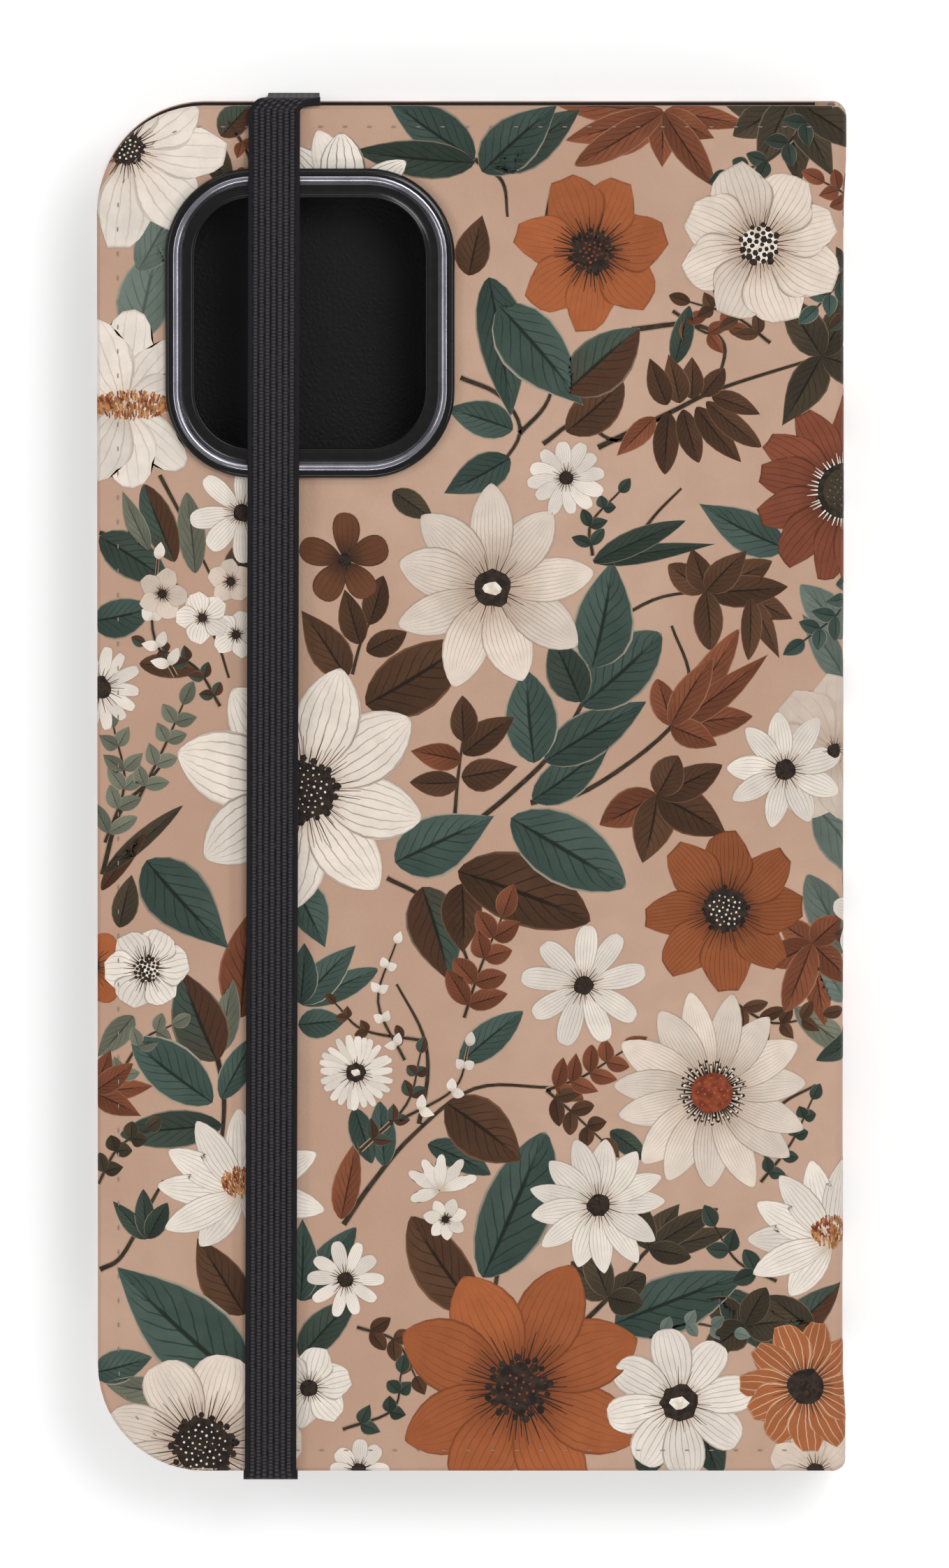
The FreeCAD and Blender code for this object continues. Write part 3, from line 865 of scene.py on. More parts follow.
# Two flowers cut by the cover's left edge, and two more like the second, with an ochre cone.
middle = np.array([-38.6, 72.1])
for angle, size, width in (
    (38, 9.6, 6.4),
    (-3, 11.4, 6.6),
    (-48, 12.2, 7.4),
    (-97, 11.6, 6.6),
    (80, 7, 6),
):
    way = np.array([math.cos(math.radians(angle)), math.sin(math.radians(angle))])
    blade("soft", middle + way, middle + way * size, width, 8, "notch", 0.0, 2)
eye("seeded", -38.8, 72.3, 1.7, 10.5)
for n, (tip_x, tip_y, width) in enumerate((
    (-38.0, 54.2, 6.5),
    (-32.6, 50.4, 5.6),
    (-43.5, 53.0, 7.0),
    (-31.6, 45.4, 4.8),
    (-32.4, 36.4, 5.2),
    (-38.2, 34.0, 6.4),
    (-43.6, 35.0, 6.4),
)):
    blade("soft", (-39.4, 43.2), (tip_x, tip_y), width, 6.5 + 0.45 * n, "round")
tuft(-38.4, 43.4, 8.6, 3.0, 330, 10)
for x, y, angles, size in (
    (-26.0, -45.6, (175, 150, 122, 92, 60, 28, -12, -50, 205, -128), 9.6),
    (40.6, -51.2, (178, 152, 128, 104, 80, 202, 232, 52), 9.6),
):
    for n, angle in enumerate(angles):
        way = np.array([math.cos(math.radians(angle)), math.sin(math.radians(angle))])
        reach = size * (0.8 if angle < -40 or angle > 225 else 1.0)
        blade("white", (x, y), np.array([x, y]) + way * reach, 3.6, 7 + 0.8 * (n % 3), "point", 0.0, 1.0)
    tuft(x, y + 1.2, 4.4, 3.4, 170, 10)

# The tips of a flower that the camera rim covers.
for n, (tip_x, tip_y, width, name) in enumerate((
    (-20.4, 72.6, 4.0, "penned"),
    (-17.4, 74.4, 4.2, "soft"),
    (-7.4, 70.9, 3.6, "penned"),
    (-14.7, 74.1, 5.2, "penned"),
)):
    blade(name, (-14.4, 65.8), (tip_x, tip_y), width, 7.5 + 0.5 * n, "point")

# Stems and branches, by the points that they pass.
for width, route in (
    (0.6, ((18, 51.9), (24.8, 52.5), (28.4, 50.2), (27.5, 45.3))),
    (0.6, ((14.2, 38.6), (22.4, 42.6), (28.1, 45.3), (39.5, 48.9))),
    (0.5, ((-1.3, 46.5), (3.2, 44.4), (5.4, 40.2), (1.9, 35.5), (-2.5, 33.6))),
    (0.5, ((5.4, 40.2), (8.6, 44.0), (9.9, 50.4))),
    (0.5, ((8, 39), (12, 41.5), (16.5, 39.4), (22.4, 42.6))),
    (0.6, ((6.6, -1.5), (13.1, 0), (22.2, 6.8), (24.5, 12.5), (22.5, 18.5))),
    (0.6, ((-0.7, -4.6), (4.4, -0.4), (9.2, 4.4), (13, 11), (14.4, 17), (20.4, 21.4), (28, 22.6))),
    (0.5, ((-42, 29), (-37.5, 27.6), (-33.6, 23.4), (-29.2, 17.6), (-27.4, 12.6))),
    (0.45, ((-35.2, 35.5), (-32.0, 29.4), (-28.0, 21.1))),
    (0.6, ((-28.8, -30.0), (-28.0, -34.4), (-28.3, -39.8), (-29.4, -43.4))),
    (0.55, ((-42, -54.3), (-39.5, -52.7), (-36.2, -46.7), (-34.8, -44.2))),
    (0.6, ((-14.5, -49.2), (-11.5, -44.8), (-6.8, -39.2), (0.3, -33.8), (9.1, -33.7))),
    (0.5, ((-6.0, -37.8), (-5.0, -32.2), (-5.6, -27.5), (-8.5, -22.0))),
    (0.45, ((-2.0, -3.7), (-1.6, 1.2), (-0.9, 6.6))),
    (0.5, ((-9.6, -10.0), (-5.0, -12.6), (-1.0, -18.0), (0.6, -25.0))),
    (0.55, ((-41.7, -9.6), (-39.8, -2.7), (-36.8, 0.6), (-34.4, 3.5))),
    (0.55, ((11.9, -61.0), (16.1, -56.7), (20.0, -51.9), (24.7, -48.8))),
    (0.5, ((3.0, -54.0), (2.2, -58.0), (0.6, -61.0))),
    (0.45, ((13.7, 25.7), (18.0, 28.0), (21.0, 31.4), (23.6, 34.0))),
    (0.4, ((9.1, 68.0), (8.6, 66.0), (8.2, 64.0))),
    (0.5, ((0.3, 71.1), (3.4, 68.6), (4.0, 64.6))),
    (0.4, ((-13.5, 13.0), (-12.4, 17.0), (-10.4, 21.0))),
    (0.5, ((36.5, -45.0), (33.0, -41.0), (34.6, -36.0), (38.8, -33.4))),
):
    stem(route, width)

# Single leaves, by base and tip, width and ink. A brown one is russet or bark by chance.
for x0, y0, x1, y1, width, name in (
    (1.1, 69.7, 9.2, 77.6, 6.0, "teal"),
    (0.3, 71.1, -10.3, 77.4, 5.4, "teal"),
    (0.3, 70.7, -13.4, 71.3, 4.4, "pine"),
    (2.2, 70.2, 12.6, 76.2, 5.2, "pine"),
    (-28.3, 73.7, -24.6, 77.6, 3.6, "mixed"),
    (-29.6, 73.7, -28.0, 67.6, 3.0, "olive"),
    (-31.5, 74.6, -35.0, 78.4, 3.4, "pine"),
    (-37.8, 50.6, -35.4, 61.4, 6.2, "mist"),
    (-37.6, 58.6, -33.0, 66.4, 4.6, "mist"),
    (1.9, 57.8, 4.9, 42.2, 5.6, "teal"),
    (3.1, 54.6, 13.2, 43.9, 7.4, "teal"),
    (10.6, 44.9, 18.6, 52.4, 6.4, "mixed"),
    (4.6, 40.6, -2.6, 43.4, 4.4, "teal"),
    (4.3, 37.4, -2.9, 33.0, 4.4, "teal"),
    (-0.4, 58.0, 1.2, 64.8, 4.0, "brown"),
    (-8.7, -8.2, 2.6, -3.0, 7.0, "teal"),
    (13.5, 13.8, 16.9, 25.6, 7.0, "teal"),
    (12.3, 9.9, 9.2, 17.4, 5.0, "pine"),
    (12.3, 9.5, 22.0, 16.8, 7.0, "teal"),
    (7.0, 3.0, 5.6, 13.4, 6.2, "teal"),
    (8.2, 3.2, 19.4, 10.4, 5.4, "teal"),
    (6.8, -1.2, 16.2, 4.6, 4.8, "teal"),
    (4.4, -3.2, 17.4, -11.0, 8.0, "teal"),
    (35.3, 27.2, 25.2, 31.4, 5.0, "teal"),
    (13.7, 25.7, 23.9, 30.8, 2.9, "pine"),
    (13.7, 25.7, 27.4, 28.2, 2.2, "pine"),
    (42.4, 17.0, 37.6, 23.6, 4.4, "mist"),
    (42.6, 12.0, 37.4, 20.0, 3.6, "mist"),
    (38.8, -2.0, 46.0, -10.0, 6.0, "mist"),
    (42.4, -18.6, 38.2, -9.4, 4.8, "mist"),
    (42.6, -24.0, 37.8, -17.6, 4.2, "mist"),
    (-42.0, 28.6, -33.8, 23.8, 5.0, "pine"),
    (-43.0, 19.0, -35.8, 19.9, 4.6, "teal"),
    (-33.5, 25.7, -37.2, 34.4, 3.8, "mixed"),
    (-36.4, 27.0, -39.6, 33.6, 2.4, "sage"),
    (-31.2, 24.4, -31.8, 33.6, 3.2, "sage"),
    (-36.7, -8.0, -28.4, -18.8, 7.4, "teal"),
    (-28.8, -30.7, -33.4, -20.6, 6.4, "mixed"),
    (-28.3, -29.7, -27.4, -21.4, 3.0, "sage"),
    (-29.3, -35.4, -38.9, -29.0, 6.0, "teal"),
    (-28.2, -38.0, -39.8, -38.6, 4.4, "pine"),
    (-28.3, -35.0, -24.6, -27.6, 3.4, "teal"),
    (-1.4, -30.9, 5.6, -24.8, 4.0, "teal"),
    (-5.0, -40.1, 2.4, -42.9, 3.4, "teal"),
    (-13.3, -36.0, -11.0, -42.2, 3.0, "teal"),
    (-9.9, -42.6, -10.3, -35.2, 3.2, "teal"),
    (1.2, -55.2, 8.6, -38.8, 8.2, "teal"),
    (16.1, -60.4, 31.4, -54.2, 7.0, "teal"),
    (-25.4, -67.6, -41.0, -55.0, 9.6, "teal"),
    (-42.9, -66.0, -36.0, -64.8, 4.0, "teal"),
    (-33.6, -68.6, -41.4, -67.0, 3.4, "sage"),
    (-19.4, -57.8, -18.4, -48.6, 4.0, "teal"),
    (-19.4, -57.8, -13.8, -49.0, 4.0, "teal"),
    (-19.4, -64.3, -13.6, -57.0, 4.2, "pine"),
    (21.5, -70.0, 19.8, -79.0, 4.4, "pine"),
    (25.4, -70.0, 27.6, -79.0, 4.4, "pine"),
    (-19.4, -24.2, -18.4, -17.4, 3.4, "teal"),
    (-19.4, -24.2, -13.6, -17.2, 4.0, "teal"),
    (-19.4, -24.2, -10.6, -20.2, 3.2, "teal"),
    (-19.6, -26.6, -14.2, -26.0, 3.6, "teal"),
    (-5.6, -11.0, -2.0, -21.6, 6.4, "mixed"),
    (-20.2, -10.6, -16.4, -17.8, 4.8, "teal"),
    (22.8, 48.0, 24.6, 54.6, 2.6, "pine"),
    (34.8, -62.6, 41.8, -55.6, 4.2, "mixed"),
    (28.4, -56.6, 33.6, -64.6, 4.6, "pine"),
    (38.5, -61.4, 33.8, -56.8, 3.8, "olive"),
    (-8.9, 33.7, -4.4, 30.4, 3.0, "olive"),
    (-12.0, 9.6, 0.2, 15.9, 7.4, "bark"),
    (-14.2, 12.6, -18.6, 20.6, 4.6, "bark"),
    (-12.6, 16.4, -14.4, 22.6, 3.2, "brown"),
    (-11.6, 18.6, -9.6, 24.0, 3.0, "brown"),
    (-11.9, 15.6, -7.4, 17.9, 3.0, "brown"),
    (-0.9, 5.4, -1.4, 10.6, 3.2, "brown"),
    (-1.2, 3.2, -6.8, 4.8, 3.2, "brown"),
    (-1.5, 0.8, -7.0, 0.4, 3.0, "brown"),
    (-1.0, 4.0, 4.4, 8.6, 3.6, "brown"),
    (-1.2, 1.4, 5.2, 2.4, 3.8, "brown"),
    (-1.6, -9.2, 13.6, -14.2, 8.0, "bark"),
    (-1.1, -10.6, -0.6, -18.4, 4.8, "brown"),
    (22.0, 43.4, 19.8, 48.6, 2.8, "brown"),
    (23.4, 43.6, 22.4, 49.2, 3.0, "brown"),
    (24.7, 44.1, 25.2, 48.8, 2.8, "brown"),
    (25.9, 44.4, 28.4, 47.6, 2.4, "brown"),
    (27.0, 44.4, 32.6, 42.8, 2.4, "brown"),
    (26.4, 43.8, 32.4, 38.4, 2.7, "brown"),
    (25.3, 43.2, 29.8, 36.6, 2.9, "brown"),
    (23.8, 42.9, 25.2, 36.8, 2.8, "brown"),
    (22.2, 42.6, 21.4, 35.6, 3.0, "brown"),
    (20.6, 42.0, 16.4, 37.6, 2.6, "brown"),
    (20.9, -0.6, 14.6, -4.4, 4.4, "brown"),
    (20.9, -0.6, 23.6, 3.6, 4.0, "brown"),
    (20.9, -0.6, 28.4, 2.4, 3.8, "brown"),
    (20.9, -0.6, 29.0, -4.6, 5.2, "bark"),
    (20.9, -0.6, 20.0, -8.4, 4.8, "bark"),
    (-37.5, 14.2, -30.6, 13.8, 2.8, "bark"),
    (-26.9, 22.7, -25.3, 29.2, 3.8, "olive"),
    (-26.1, -25.8, -25.2, -13.6, 5.4, "brown"),
    (-25.7, -59.4, -30.8, -50.6, 5.2, "bark"),
    (0.6, -59.2, -7.6, -48.8, 6.4, "bark"),
    (-2.9, -35.4, 6.0, -41.2, 6.8, "bark"),
    (-14.8, -48.6, -12.8, -39.6, 3.2, "russet"),
    (26.1, -66.7, 29.4, -58.2, 3.0, "olive"),
    (39.4, 48.9, 34.8, 56.2, 4.4, "olive"),
    (39.4, 48.9, 43.4, 56.4, 4.2, "olive"),
    (39.4, 48.9, 35.0, 41.0, 4.4, "olive"),
    (39.4, 48.9, 46.0, 47.0, 4.4, "olive"),
    (10.6, 40.4, 17.4, 45.6, 5.0, "bark"),
    (-41.4, -9.4, -32.6, -1.8, 2.0, "olive"),
    (-41.8, -11.4, -37.2, -4.4, 2.0, "bark"),
    (-39.8, -15.6, -38.6, -9.6, 3.0, "olive"),
    (-38.2, -25.6, -42.0, -30.4, 3.0, "sage"),
    (36.4, -24.6, 43.4, -30.6, 3.4, "sage"),
    (15.6, -38.6, 20.2, -41.6, 2.6, "pine"),
):
    brown = "russet" if rng.uniform() < 0.25 else "bark"
    leaf(x0, y0, x1, y1, width, brown if name == "brown" else name)

# Sprays of leaves that start from one point.
for x, y, width, name, tips in (
    (
        21.6, 76.4, 3.3, "russet",
        (
            (8.5, 77.6), (10.6, 73.0), (11.8, 70.0), (16.3, 71.8), (21.2, 70.2),
            (26.8, 67.6), (31.2, 75.4), (27, 73),
        ),
    ),
    (
        36.0, 78.0, 4.8, "olive",
        (
            (28.4, 77.4), (29.6, 73.4), (31.9, 70.2), (35.9, 68.0), (40.6, 69.0),
            (44.5, 72.5),
        ),
    ),
    (
        26.4, 22.4, 3.4, "bark",
        (
            (22.0, 25.2), (25.2, 27.4), (30.6, 27.4), (34.0, 25.4), (35.6, 22.2),
            (27.4, 15.8),
        ),
    ),
    (31.4, 21.6, 2.8, "bark", ((36.0, 19.0), (35.0, 15.0), (31.6, 14.6))),
    (
        22.4, 7.2, 3.3, "russet",
        (
            (31.0, 17.4), (34.0, 14.2), (26.4, 15.2), (31.6, 8.6), (21.4, 12.6), (27.6, 4.9),
        ),
    ),
    (
        38.4, -17.4, 3.2, "russet",
        (
            (34.4, -15.0), (33.6, -20.2), (35.4, -25.2), (39.6, -26.8), (43.0, -22.0),
            (42.0, -14.0),
        ),
    ),
    (-42.8, -34.2, 2.8, "russet", ((-36.0, -33.6), (-37.2, -36.6), (-38.0, -31.4), (-40.5, -29.5))),
    (30.8, -60.6, 3.6, "olive", ((26.4, -57.6), (27.0, -63.4), (33.0, -56.2), (35.6, -60.2))),
    (
        20.0, -52.0, 3.2, "olive",
        (
            (23.0, -46.6), (27.6, -47.0), (24.8, -52.6), (29.6, -50.6), (18.4, -45.8),
        ),
    ),
    (15.4, -57.4, 3.4, "olive", ((10.8, -53.8), (19.2, -58.6), (12.4, -50.4), (19.4, -54.6))),
    (-36.6, -50.8, 2.4, "pine", ((-40.6, -46.6), (-37.4, -45.2), (-34.6, -46.6))),
):
    for n, tip in enumerate(tips):
        leaf(x, y, *tip, width * rng.uniform(0.85, 1.15), name, 3.0 + 0.6 * (n % 3))

# A small half-open flower, by the tips of its petals.
bud = ((-7.2, -43.2), (-5.6, -41.8), (-3.4, -41.2), (-1.0, -41.8), (0.6, -43.8), (-7.0, -46.4))
for n, tip in enumerate(bud):
    blade("white", (-3.6, -45.4), tip, 1.5, 8 + 0.5 * (n % 3), "round")

# Sprigs: a stem with small leaves in pairs.
for route, pairs, length, width, name, level in (
    (((-0.9, -25.8), (1.0, -20.0), (3.4, -14.4)), 4, 4.4, 2.5, "russet", 4.5),
    (((8.4, -34.0), (12.6, -32.4), (17.0, -29.6)), 4, 3.6, 1.9, "russet", 4.5),
    (((8.4, -34.0), (11.4, -36.6), (14.6, -39.6)), 3, 3.2, 1.8, "bark", 4.5),
    (((29.4, -24.0), (34.0, -26.4), (39.6, -25.4)), 4, 3.2, 1.5, "bark", 3.5),
    (((32.6, -44.4), (36.0, -40.0), (38.4, -35.0)), 4, 2.2, 1.5, "pine", 4.0),
    (((-42.2, -44.6), (-40.0, -40.6), (-36.8, -38.4)), 3, 2.4, 1.8, "olive", 4.0),
    (((-7.6, -30.6), (-10.6, -24.0), (-8.6, -17.4)), 4, 1.7, 1.1, "white", 6.0),
    (((-5.4, -28.4), (-12.2, -27.2), (-15.4, -24.2)), 3, 1.7, 1.1, "bark", 5.0),
    (((-8.2, -37.4), (-2.0, -33.8), (-0.4, -29.0)), 3, 1.9, 1.2, "white", 6.0),
    (((-12.6, -40.8), (-7.4, -35.6), (-5.8, -29.8)), 4, 2.2, 1.4, "mixed", 5.0),
    (((-33.4, 12.8), (-36.0, 18.0), (-35.4, 26.0)), 4, 2.2, 1.3, "white", 6.0),
    (((-28.4, 9.4), (-31.4, 14.0), (-36.8, 16.4)), 4, 2.0, 1.3, "mixed", 4.0),
    (((-41.4, -6.0), (-39.2, 0.6), (-40.4, 7.0)), 5, 3.4, 1.8, "sage", 3.0),
    (((-37.6, -1.0), (-34.8, 4.6), (-32.6, 9.6)), 4, 3.2, 1.8, "sage", 3.0),
    (((-41.0, -34.6), (-37.4, -28.6), (-33.8, -26.6)), 3, 2.6, 1.6, "sage", 3.0),
    (((13.6, 26.4), (13.4, 30.0), (16.6, 33.6)), 3, 2.2, 1.4, "pine", 3.0),
    (((22.6, 54.0), (27.0, 51.4), (30.6, 53.6)), 3, 3.0, 1.6, "russet", 3.0),
    (((33.6, 50.4), (29.6, 53.4), (24.6, 55.0)), 3, 2.8, 1.5, "bark", 4.0),
    (((38.8, 76.6), (34.0, 71.4), (29.0, 69.4)), 4, 3.0, 1.8, "pine", 5.0),
    (((-27.4, 75.4), (-25.0, 70.8), (-26.8, 67.4)), 2, 2.0, 1.3, "russet", 4.0),
    (((34.4, -55.6), (30.0, -53.4), (27.4, -49.4)), 2, 3.0, 2.0, "pine", 4.0),
    (((-13.0, -60.8), (-8.6, -62.4), (-6.4, -66.4)), 3, 2.6, 1.8, "bark", 4.0),
    (((-14.6, -72.4), (-9.0, -70.2), (-8.0, -66.0)), 3, 2.4, 1.7, "pine", 4.4),
    (((20.0, -62.0), (24.6, -60.4), (29.6, -61.4)), 3, 2.2, 1.4, "mist", 4.0),
):
    sprig(route, pairs, length, width, name, level)


# The spine and the front cover carry more of the same print, strewn by chance with no two flowers
# on top of each other, and leaves in the room between them. They start clear of the flowers that
# the back cover has near its fold.
KINDS = (
    (13.0, 8, 7.4, "cream", "seeded", 3.2, "point"),
    (12.0, 8, 8.2, "rust", "ragged", 2.9, "broad"),
    (10.6, 9, 4.8, "lined", "pale", 2.0, "oval"),
    (10.6, 15, 3.6, "lined", "red", 2.2, "oval"),
    (9.8, 8, 6.4, "amber", "seeded", 2.3, "notch"),
    (9.6, 13, 4.4, "brick", "ringed", 2.9, "notch"),
    (9.0, 8, 6.2, "cream", "beaded", 2.2, "notch"),
    (8.0, 11, 4.4, "striped", "plain", 2.0, "notch"),
    (7.0, 9, 2.7, "white", "plain", 1.2, "oval"),
    (6.2, 13, 2.2, "white", "plain", 1.2, "oval"),
    (4.8, 6, 3.2, "umber", "plain", 1.1, "notch"),
    (4.4, 24, 0.95, "white", "pale", 1.1, "daisy"),
)
NEAR_FOLD = ((42.1, 33.7), (40.9, 4.4), (40.6, -51.2), (37.7, -67.5), (32.4, 61.5), (38.8, -77.2))
settled = [(x, y, 11.5) for x, y in NEAR_FOLD]
for tries, kinds in ((500, KINDS[:7]), (900, KINDS[5:10]), (1600, KINDS[8:])):
    for _ in range(tries):
        radius, petals, width, name, kind, heart, form = kinds[int(rng.integers(len(kinds)))]
        x, y = rng.uniform(47, front_ends + 3), rng.uniform(-80, 80)
        if all(math.hypot(x - a, y - b) > radius * 0.92 + c for a, b, c in settled):
            settled.append((x, y, radius))
            flower(x, y, radius, petals, width, name, kind, heart, 8, form)
for _ in range(330):
    x, y = rng.uniform(44, front_ends), rng.uniform(-78, 78)
    room = min(math.hypot(x - a, y - b) - 0.55 * c for a, b, c in settled)
    if room < 1.0:
        continue
    name = str(rng.choice(["teal", "teal", "pine", "bark", "bark", "russet", "mixed", "olive", "sage"]))
    angle = rng.uniform(0, 2 * math.pi)
    way = np.array([math.cos(angle), math.sin(angle)])
    over = np.array([way[1], -way[0]])
    here = np.array([x, y])
    if rng.uniform() < 0.55:
        size = rng.uniform(7, 13)
        leaf(*here, *(here + way * size), size * rng.uniform(0.38, 0.55), name, 3 + rng.uniform(0, 2))
    else:
        size = rng.uniform(7, 12)
        route = (here, here + way * size * 0.5 + over * rng.uniform(-1, 1), here + way * size)
        sprig(route, 4, 3.2, 1.8, name, 3 + rng.uniform(0, 2))


# The flat print is cut where the sheet's parts meet, wrapped as they are, and kept off the
# covers' edges and out of the camera window.
all_points = np.concatenate(ink_points)
all_uv = np.concatenate(ink_uv)
all_shade = np.concatenate(ink_shade)
face_lows = [min(all_points[i, 0] for i in face) for face in ink_faces]
face_highs = [max(all_points[i, 0] for i in face) for face in ink_faces]


def built(name, points, faces):
    """A piece and its mesh, from points and faces."""
    mesh = bpy.data.meshes.new(name)
    mesh.from_pydata(points.tolist(), [], faces)
    piece = bpy.data.objects.new(name, mesh)
    bpy.context.scene.collection.objects.link(piece)
    return piece, mesh


def cover_sides():
    """The cover's outline, in by its worn edge: each short side's normal and its distance out."""
    low_x, high_y = open_x + EDGE, half_length - EDGE
    radius = CORNER - EDGE
    sides = [(-1.0, 0.0, -low_x), (0.0, 1.0, high_y), (0.0, -1.0, high_y)]
    step = math.pi / 2 / CORNER_STEPS
    for k in range(CORNER_STEPS):
        angle = (k + 0.5) * step
        for way in (1, -1):
            nx, ny = -math.cos(angle), way * math.sin(angle)
            out = nx * (low_x + radius) + ny * way * (high_y - radius)
            sides.append((nx, ny, out + radius * math.cos(step / 2)))
    return sides


UNDER_RIM = 1.3
PRINT_PAST = 20


def kept_on_cover(x, y, window):
    """Points past the cover's face go down its worn edge, and no further than its outline.
    Those in the window go out to under the rim."""
    drop = np.zeros(len(x))
    sides = cover_sides()
    for _ in range(2):
        past = np.array([nx * x + ny * y - out for nx, ny, out in sides])
        over = np.maximum(past.max(0), 0)
        back = np.maximum(over - EDGE, 0)
        normals = np.array(sides)[past.argmax(0)]
        x, y = x - normals[:, 0] * back, y - normals[:, 1] * back
        drop = np.minimum(over, EDGE)
    inside = np.zeros(len(x), bool)
    if window:
        corner = RIM_CORNER - UNDER_RIM
        flat_x, flat_y = rim_wide / 2 - RIM_CORNER, rim_long / 2 - RIM_CORNER
        px, py = x - rim_x, y - rim_y
        qx, qy = np.abs(px) - flat_x, np.abs(py) - flat_y
        far = np.hypot(np.maximum(qx, 0), np.maximum(qy, 0))
        inside = (far < corner) & (qx < corner) & (qy < corner)
        both = inside & (qx > 0) & (qy > 0) & (far > 1e-9)
        scale = corner / np.maximum(far, 1e-9)
        x = np.where(both, rim_x + np.sign(px) * (flat_x + qx * scale), x)
        y = np.where(both, rim_y + np.sign(py) * (flat_y + qy * scale), y)
        side = inside & ~both & (qx >= qy)
        x = np.where(side, rim_x + np.sign(px) * (flat_x + corner), x)
        end = inside & ~both & (qx < qy)
        y = np.where(end, rim_y + np.sign(py) * (flat_y + corner), y)
    return x, y, drop, inside


def printed(name, low, high, steps=1):
    """The part of the print between two lines of the sheet, wrapped in place."""
    chosen = [n for n in range(len(ink_faces)) if face_lows[n] < high and face_highs[n] > low]
    used = sorted({i for n in chosen for i in ink_faces[n]})
    again = {old: new for new, old in enumerate(used)}
    faces = [[again[i] for i in ink_faces[n]] for n in chosen]
    piece, mesh = built(name, all_points[used], faces)
    for _, made in sorted(inks.values(), key=lambda pair: pair[0]):
        mesh.materials.append(made)
    mesh.polygons.foreach_set("material_index", [ink_of_face[n] for n in chosen])
    uv_layer = mesh.uv_layers.new(name="ink")
    loops = np.zeros(len(mesh.loops), int)
    mesh.loops.foreach_get("vertex_index", loops)
    uv_layer.data.foreach_set("uv", all_uv[used][loops].ravel())
    shade_layer = mesh.attributes.new("shade", "FLOAT", "POINT")
    shade_layer.data.foreach_set("value", all_shade[used])
    cuts = [((low, 0, 0), (1, 0, 0), True, False), ((high, 0, 0), (1, 0, 0), False, True)]
    cuts += [((low + (high - low) * k / steps, 0, 0), (1, 0, 0), False, False) for k in range(1, steps)]
    if low >= fold_starts and high <= front_starts:
        rows = [side * row for row in WAIST_ROWS[:-2] for side in (-1, 1)]
        cuts += [((0, row, 0), (0, 1, 0), False, False) for row in rows]
    mirrored = low >= front_starts
    if high <= fold_starts or mirrored:
        for nx, ny, out in cover_sides():
            spot = (out * nx, out * ny, 0)
            if mirrored:
                spot = (hinge_x + front_starts - spot[0], spot[1], 0)
                nx = -nx
            cuts.append((spot, (nx, ny, 0), False, False))
    edit(piece)
    for point, normal, inner, outer in cuts:
        bpy.ops.mesh.select_all(action="SELECT")
        bpy.ops.mesh.bisect(plane_co=point, plane_no=normal, clear_inner=inner, clear_outer=outer)
    close_edit()
    points = points_of(piece)
    u, v, lift = points[:, 0], points[:, 1], points[:, 2]
    inside = np.zeros(len(u), bool)
    drop = np.zeros(len(u))
    if high <= fold_starts:
        u, v, drop, inside = kept_on_cover(u, v, True)
    elif mirrored:
        x, v, drop, inside = kept_on_cover(hinge_x - (u - front_starts), v, False)
        u = front_starts + hinge_x - x
    else:
        v = np.clip(v, -WAIST_ROWS[-2], WAIST_ROWS[-2])
    u = np.clip(u, low + 1e-5, high - 1e-5)
    place_points(piece, wrapped(u, v, lift - drop))
    drop_faces(piece, lambda f: f.area < 1e-10 or all(inside[i] for i in f.vertices))
    return piece


back_print = printed("back_print", open_x - PRINT_PAST, fold_starts)
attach(back_print, "back_cover")
back_fold_print = printed("back_fold_print", fold_starts, spine_starts, FOLD_STEPS)
bend_with(back_fold_print)
spine_print = printed("spine_print", spine_starts, front_fold_starts)
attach(spine_print, "spine")
front_fold_print = printed("front_fold_print", front_fold_starts, front_starts, FOLD_STEPS)
bend_with(front_fold_print)
front_print = printed("front_print", front_starts, front_ends + PRINT_PAST)
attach(front_print, "front_cover")


# The camera rim is one glossy moulding. From its outer edge it rises in a round bead, has a fine
# ridge inside that, then a dark channel and a lip, and drops as a sleeve to the tray.
def run_profile(name, inset, z, steps):
    """A rounded outline carried inward (first number) and up (second), step by step, in mm."""
    ring = rim_outline(name, inset, z)
    edit(ring)
    for inward, up in steps:
        if inward > 0:
            bpy.ops.mesh.inset(thickness=inward * MM, depth=0, use_even_offset=True)
        else:
            bpy.ops.mesh.extrude_region_move()
        if up:
            bpy.ops.transform.translate(value=(0, 0, up * MM))
    bpy.ops.mesh.delete(type="FACE")
    close_edit()
    # An upright first step leaves the outline's own face behind, over the whole window.
    drop_faces(ring, lambda f: f.area > 0.0003)
    return ring


BEAD_STEPS = (
    (0, 0.46),
    (0.02, 0.2),
    (0.07, 0.16),
    (0.12, 0.12),
    (0.16, 0.07),
    (0.25, 0.04),
    (0.18, 0.01),
    (0.12, -0.06),
    (0.08, 0.04),
    (0.2, 0),
    (0.12, -0.03),
    (0.12, -0.07),
    (0.12, -0.1),
    (0.12, -0.13),
    (0.1, -0.14),
    (0.12, -0.05),
    (0.25, -0.02),
    (0.3, 0.01),
    (0.3, 0.02),
    (0.2, 0.05),
    (0.12, 0.06),
    (0.1, 0.01),
    (0.08, -0.03),
    (0.05, -0.1),
    (0, -0.9),
    (0, -1.27),
)
# The ridge is polished, between these distances in from the rim's outer edge.
POLISHED = (0.94, 1.8)
# Under the bead the moulding is flat this far in, where its sleeve goes down.
SLEEVE_AT = 2.1


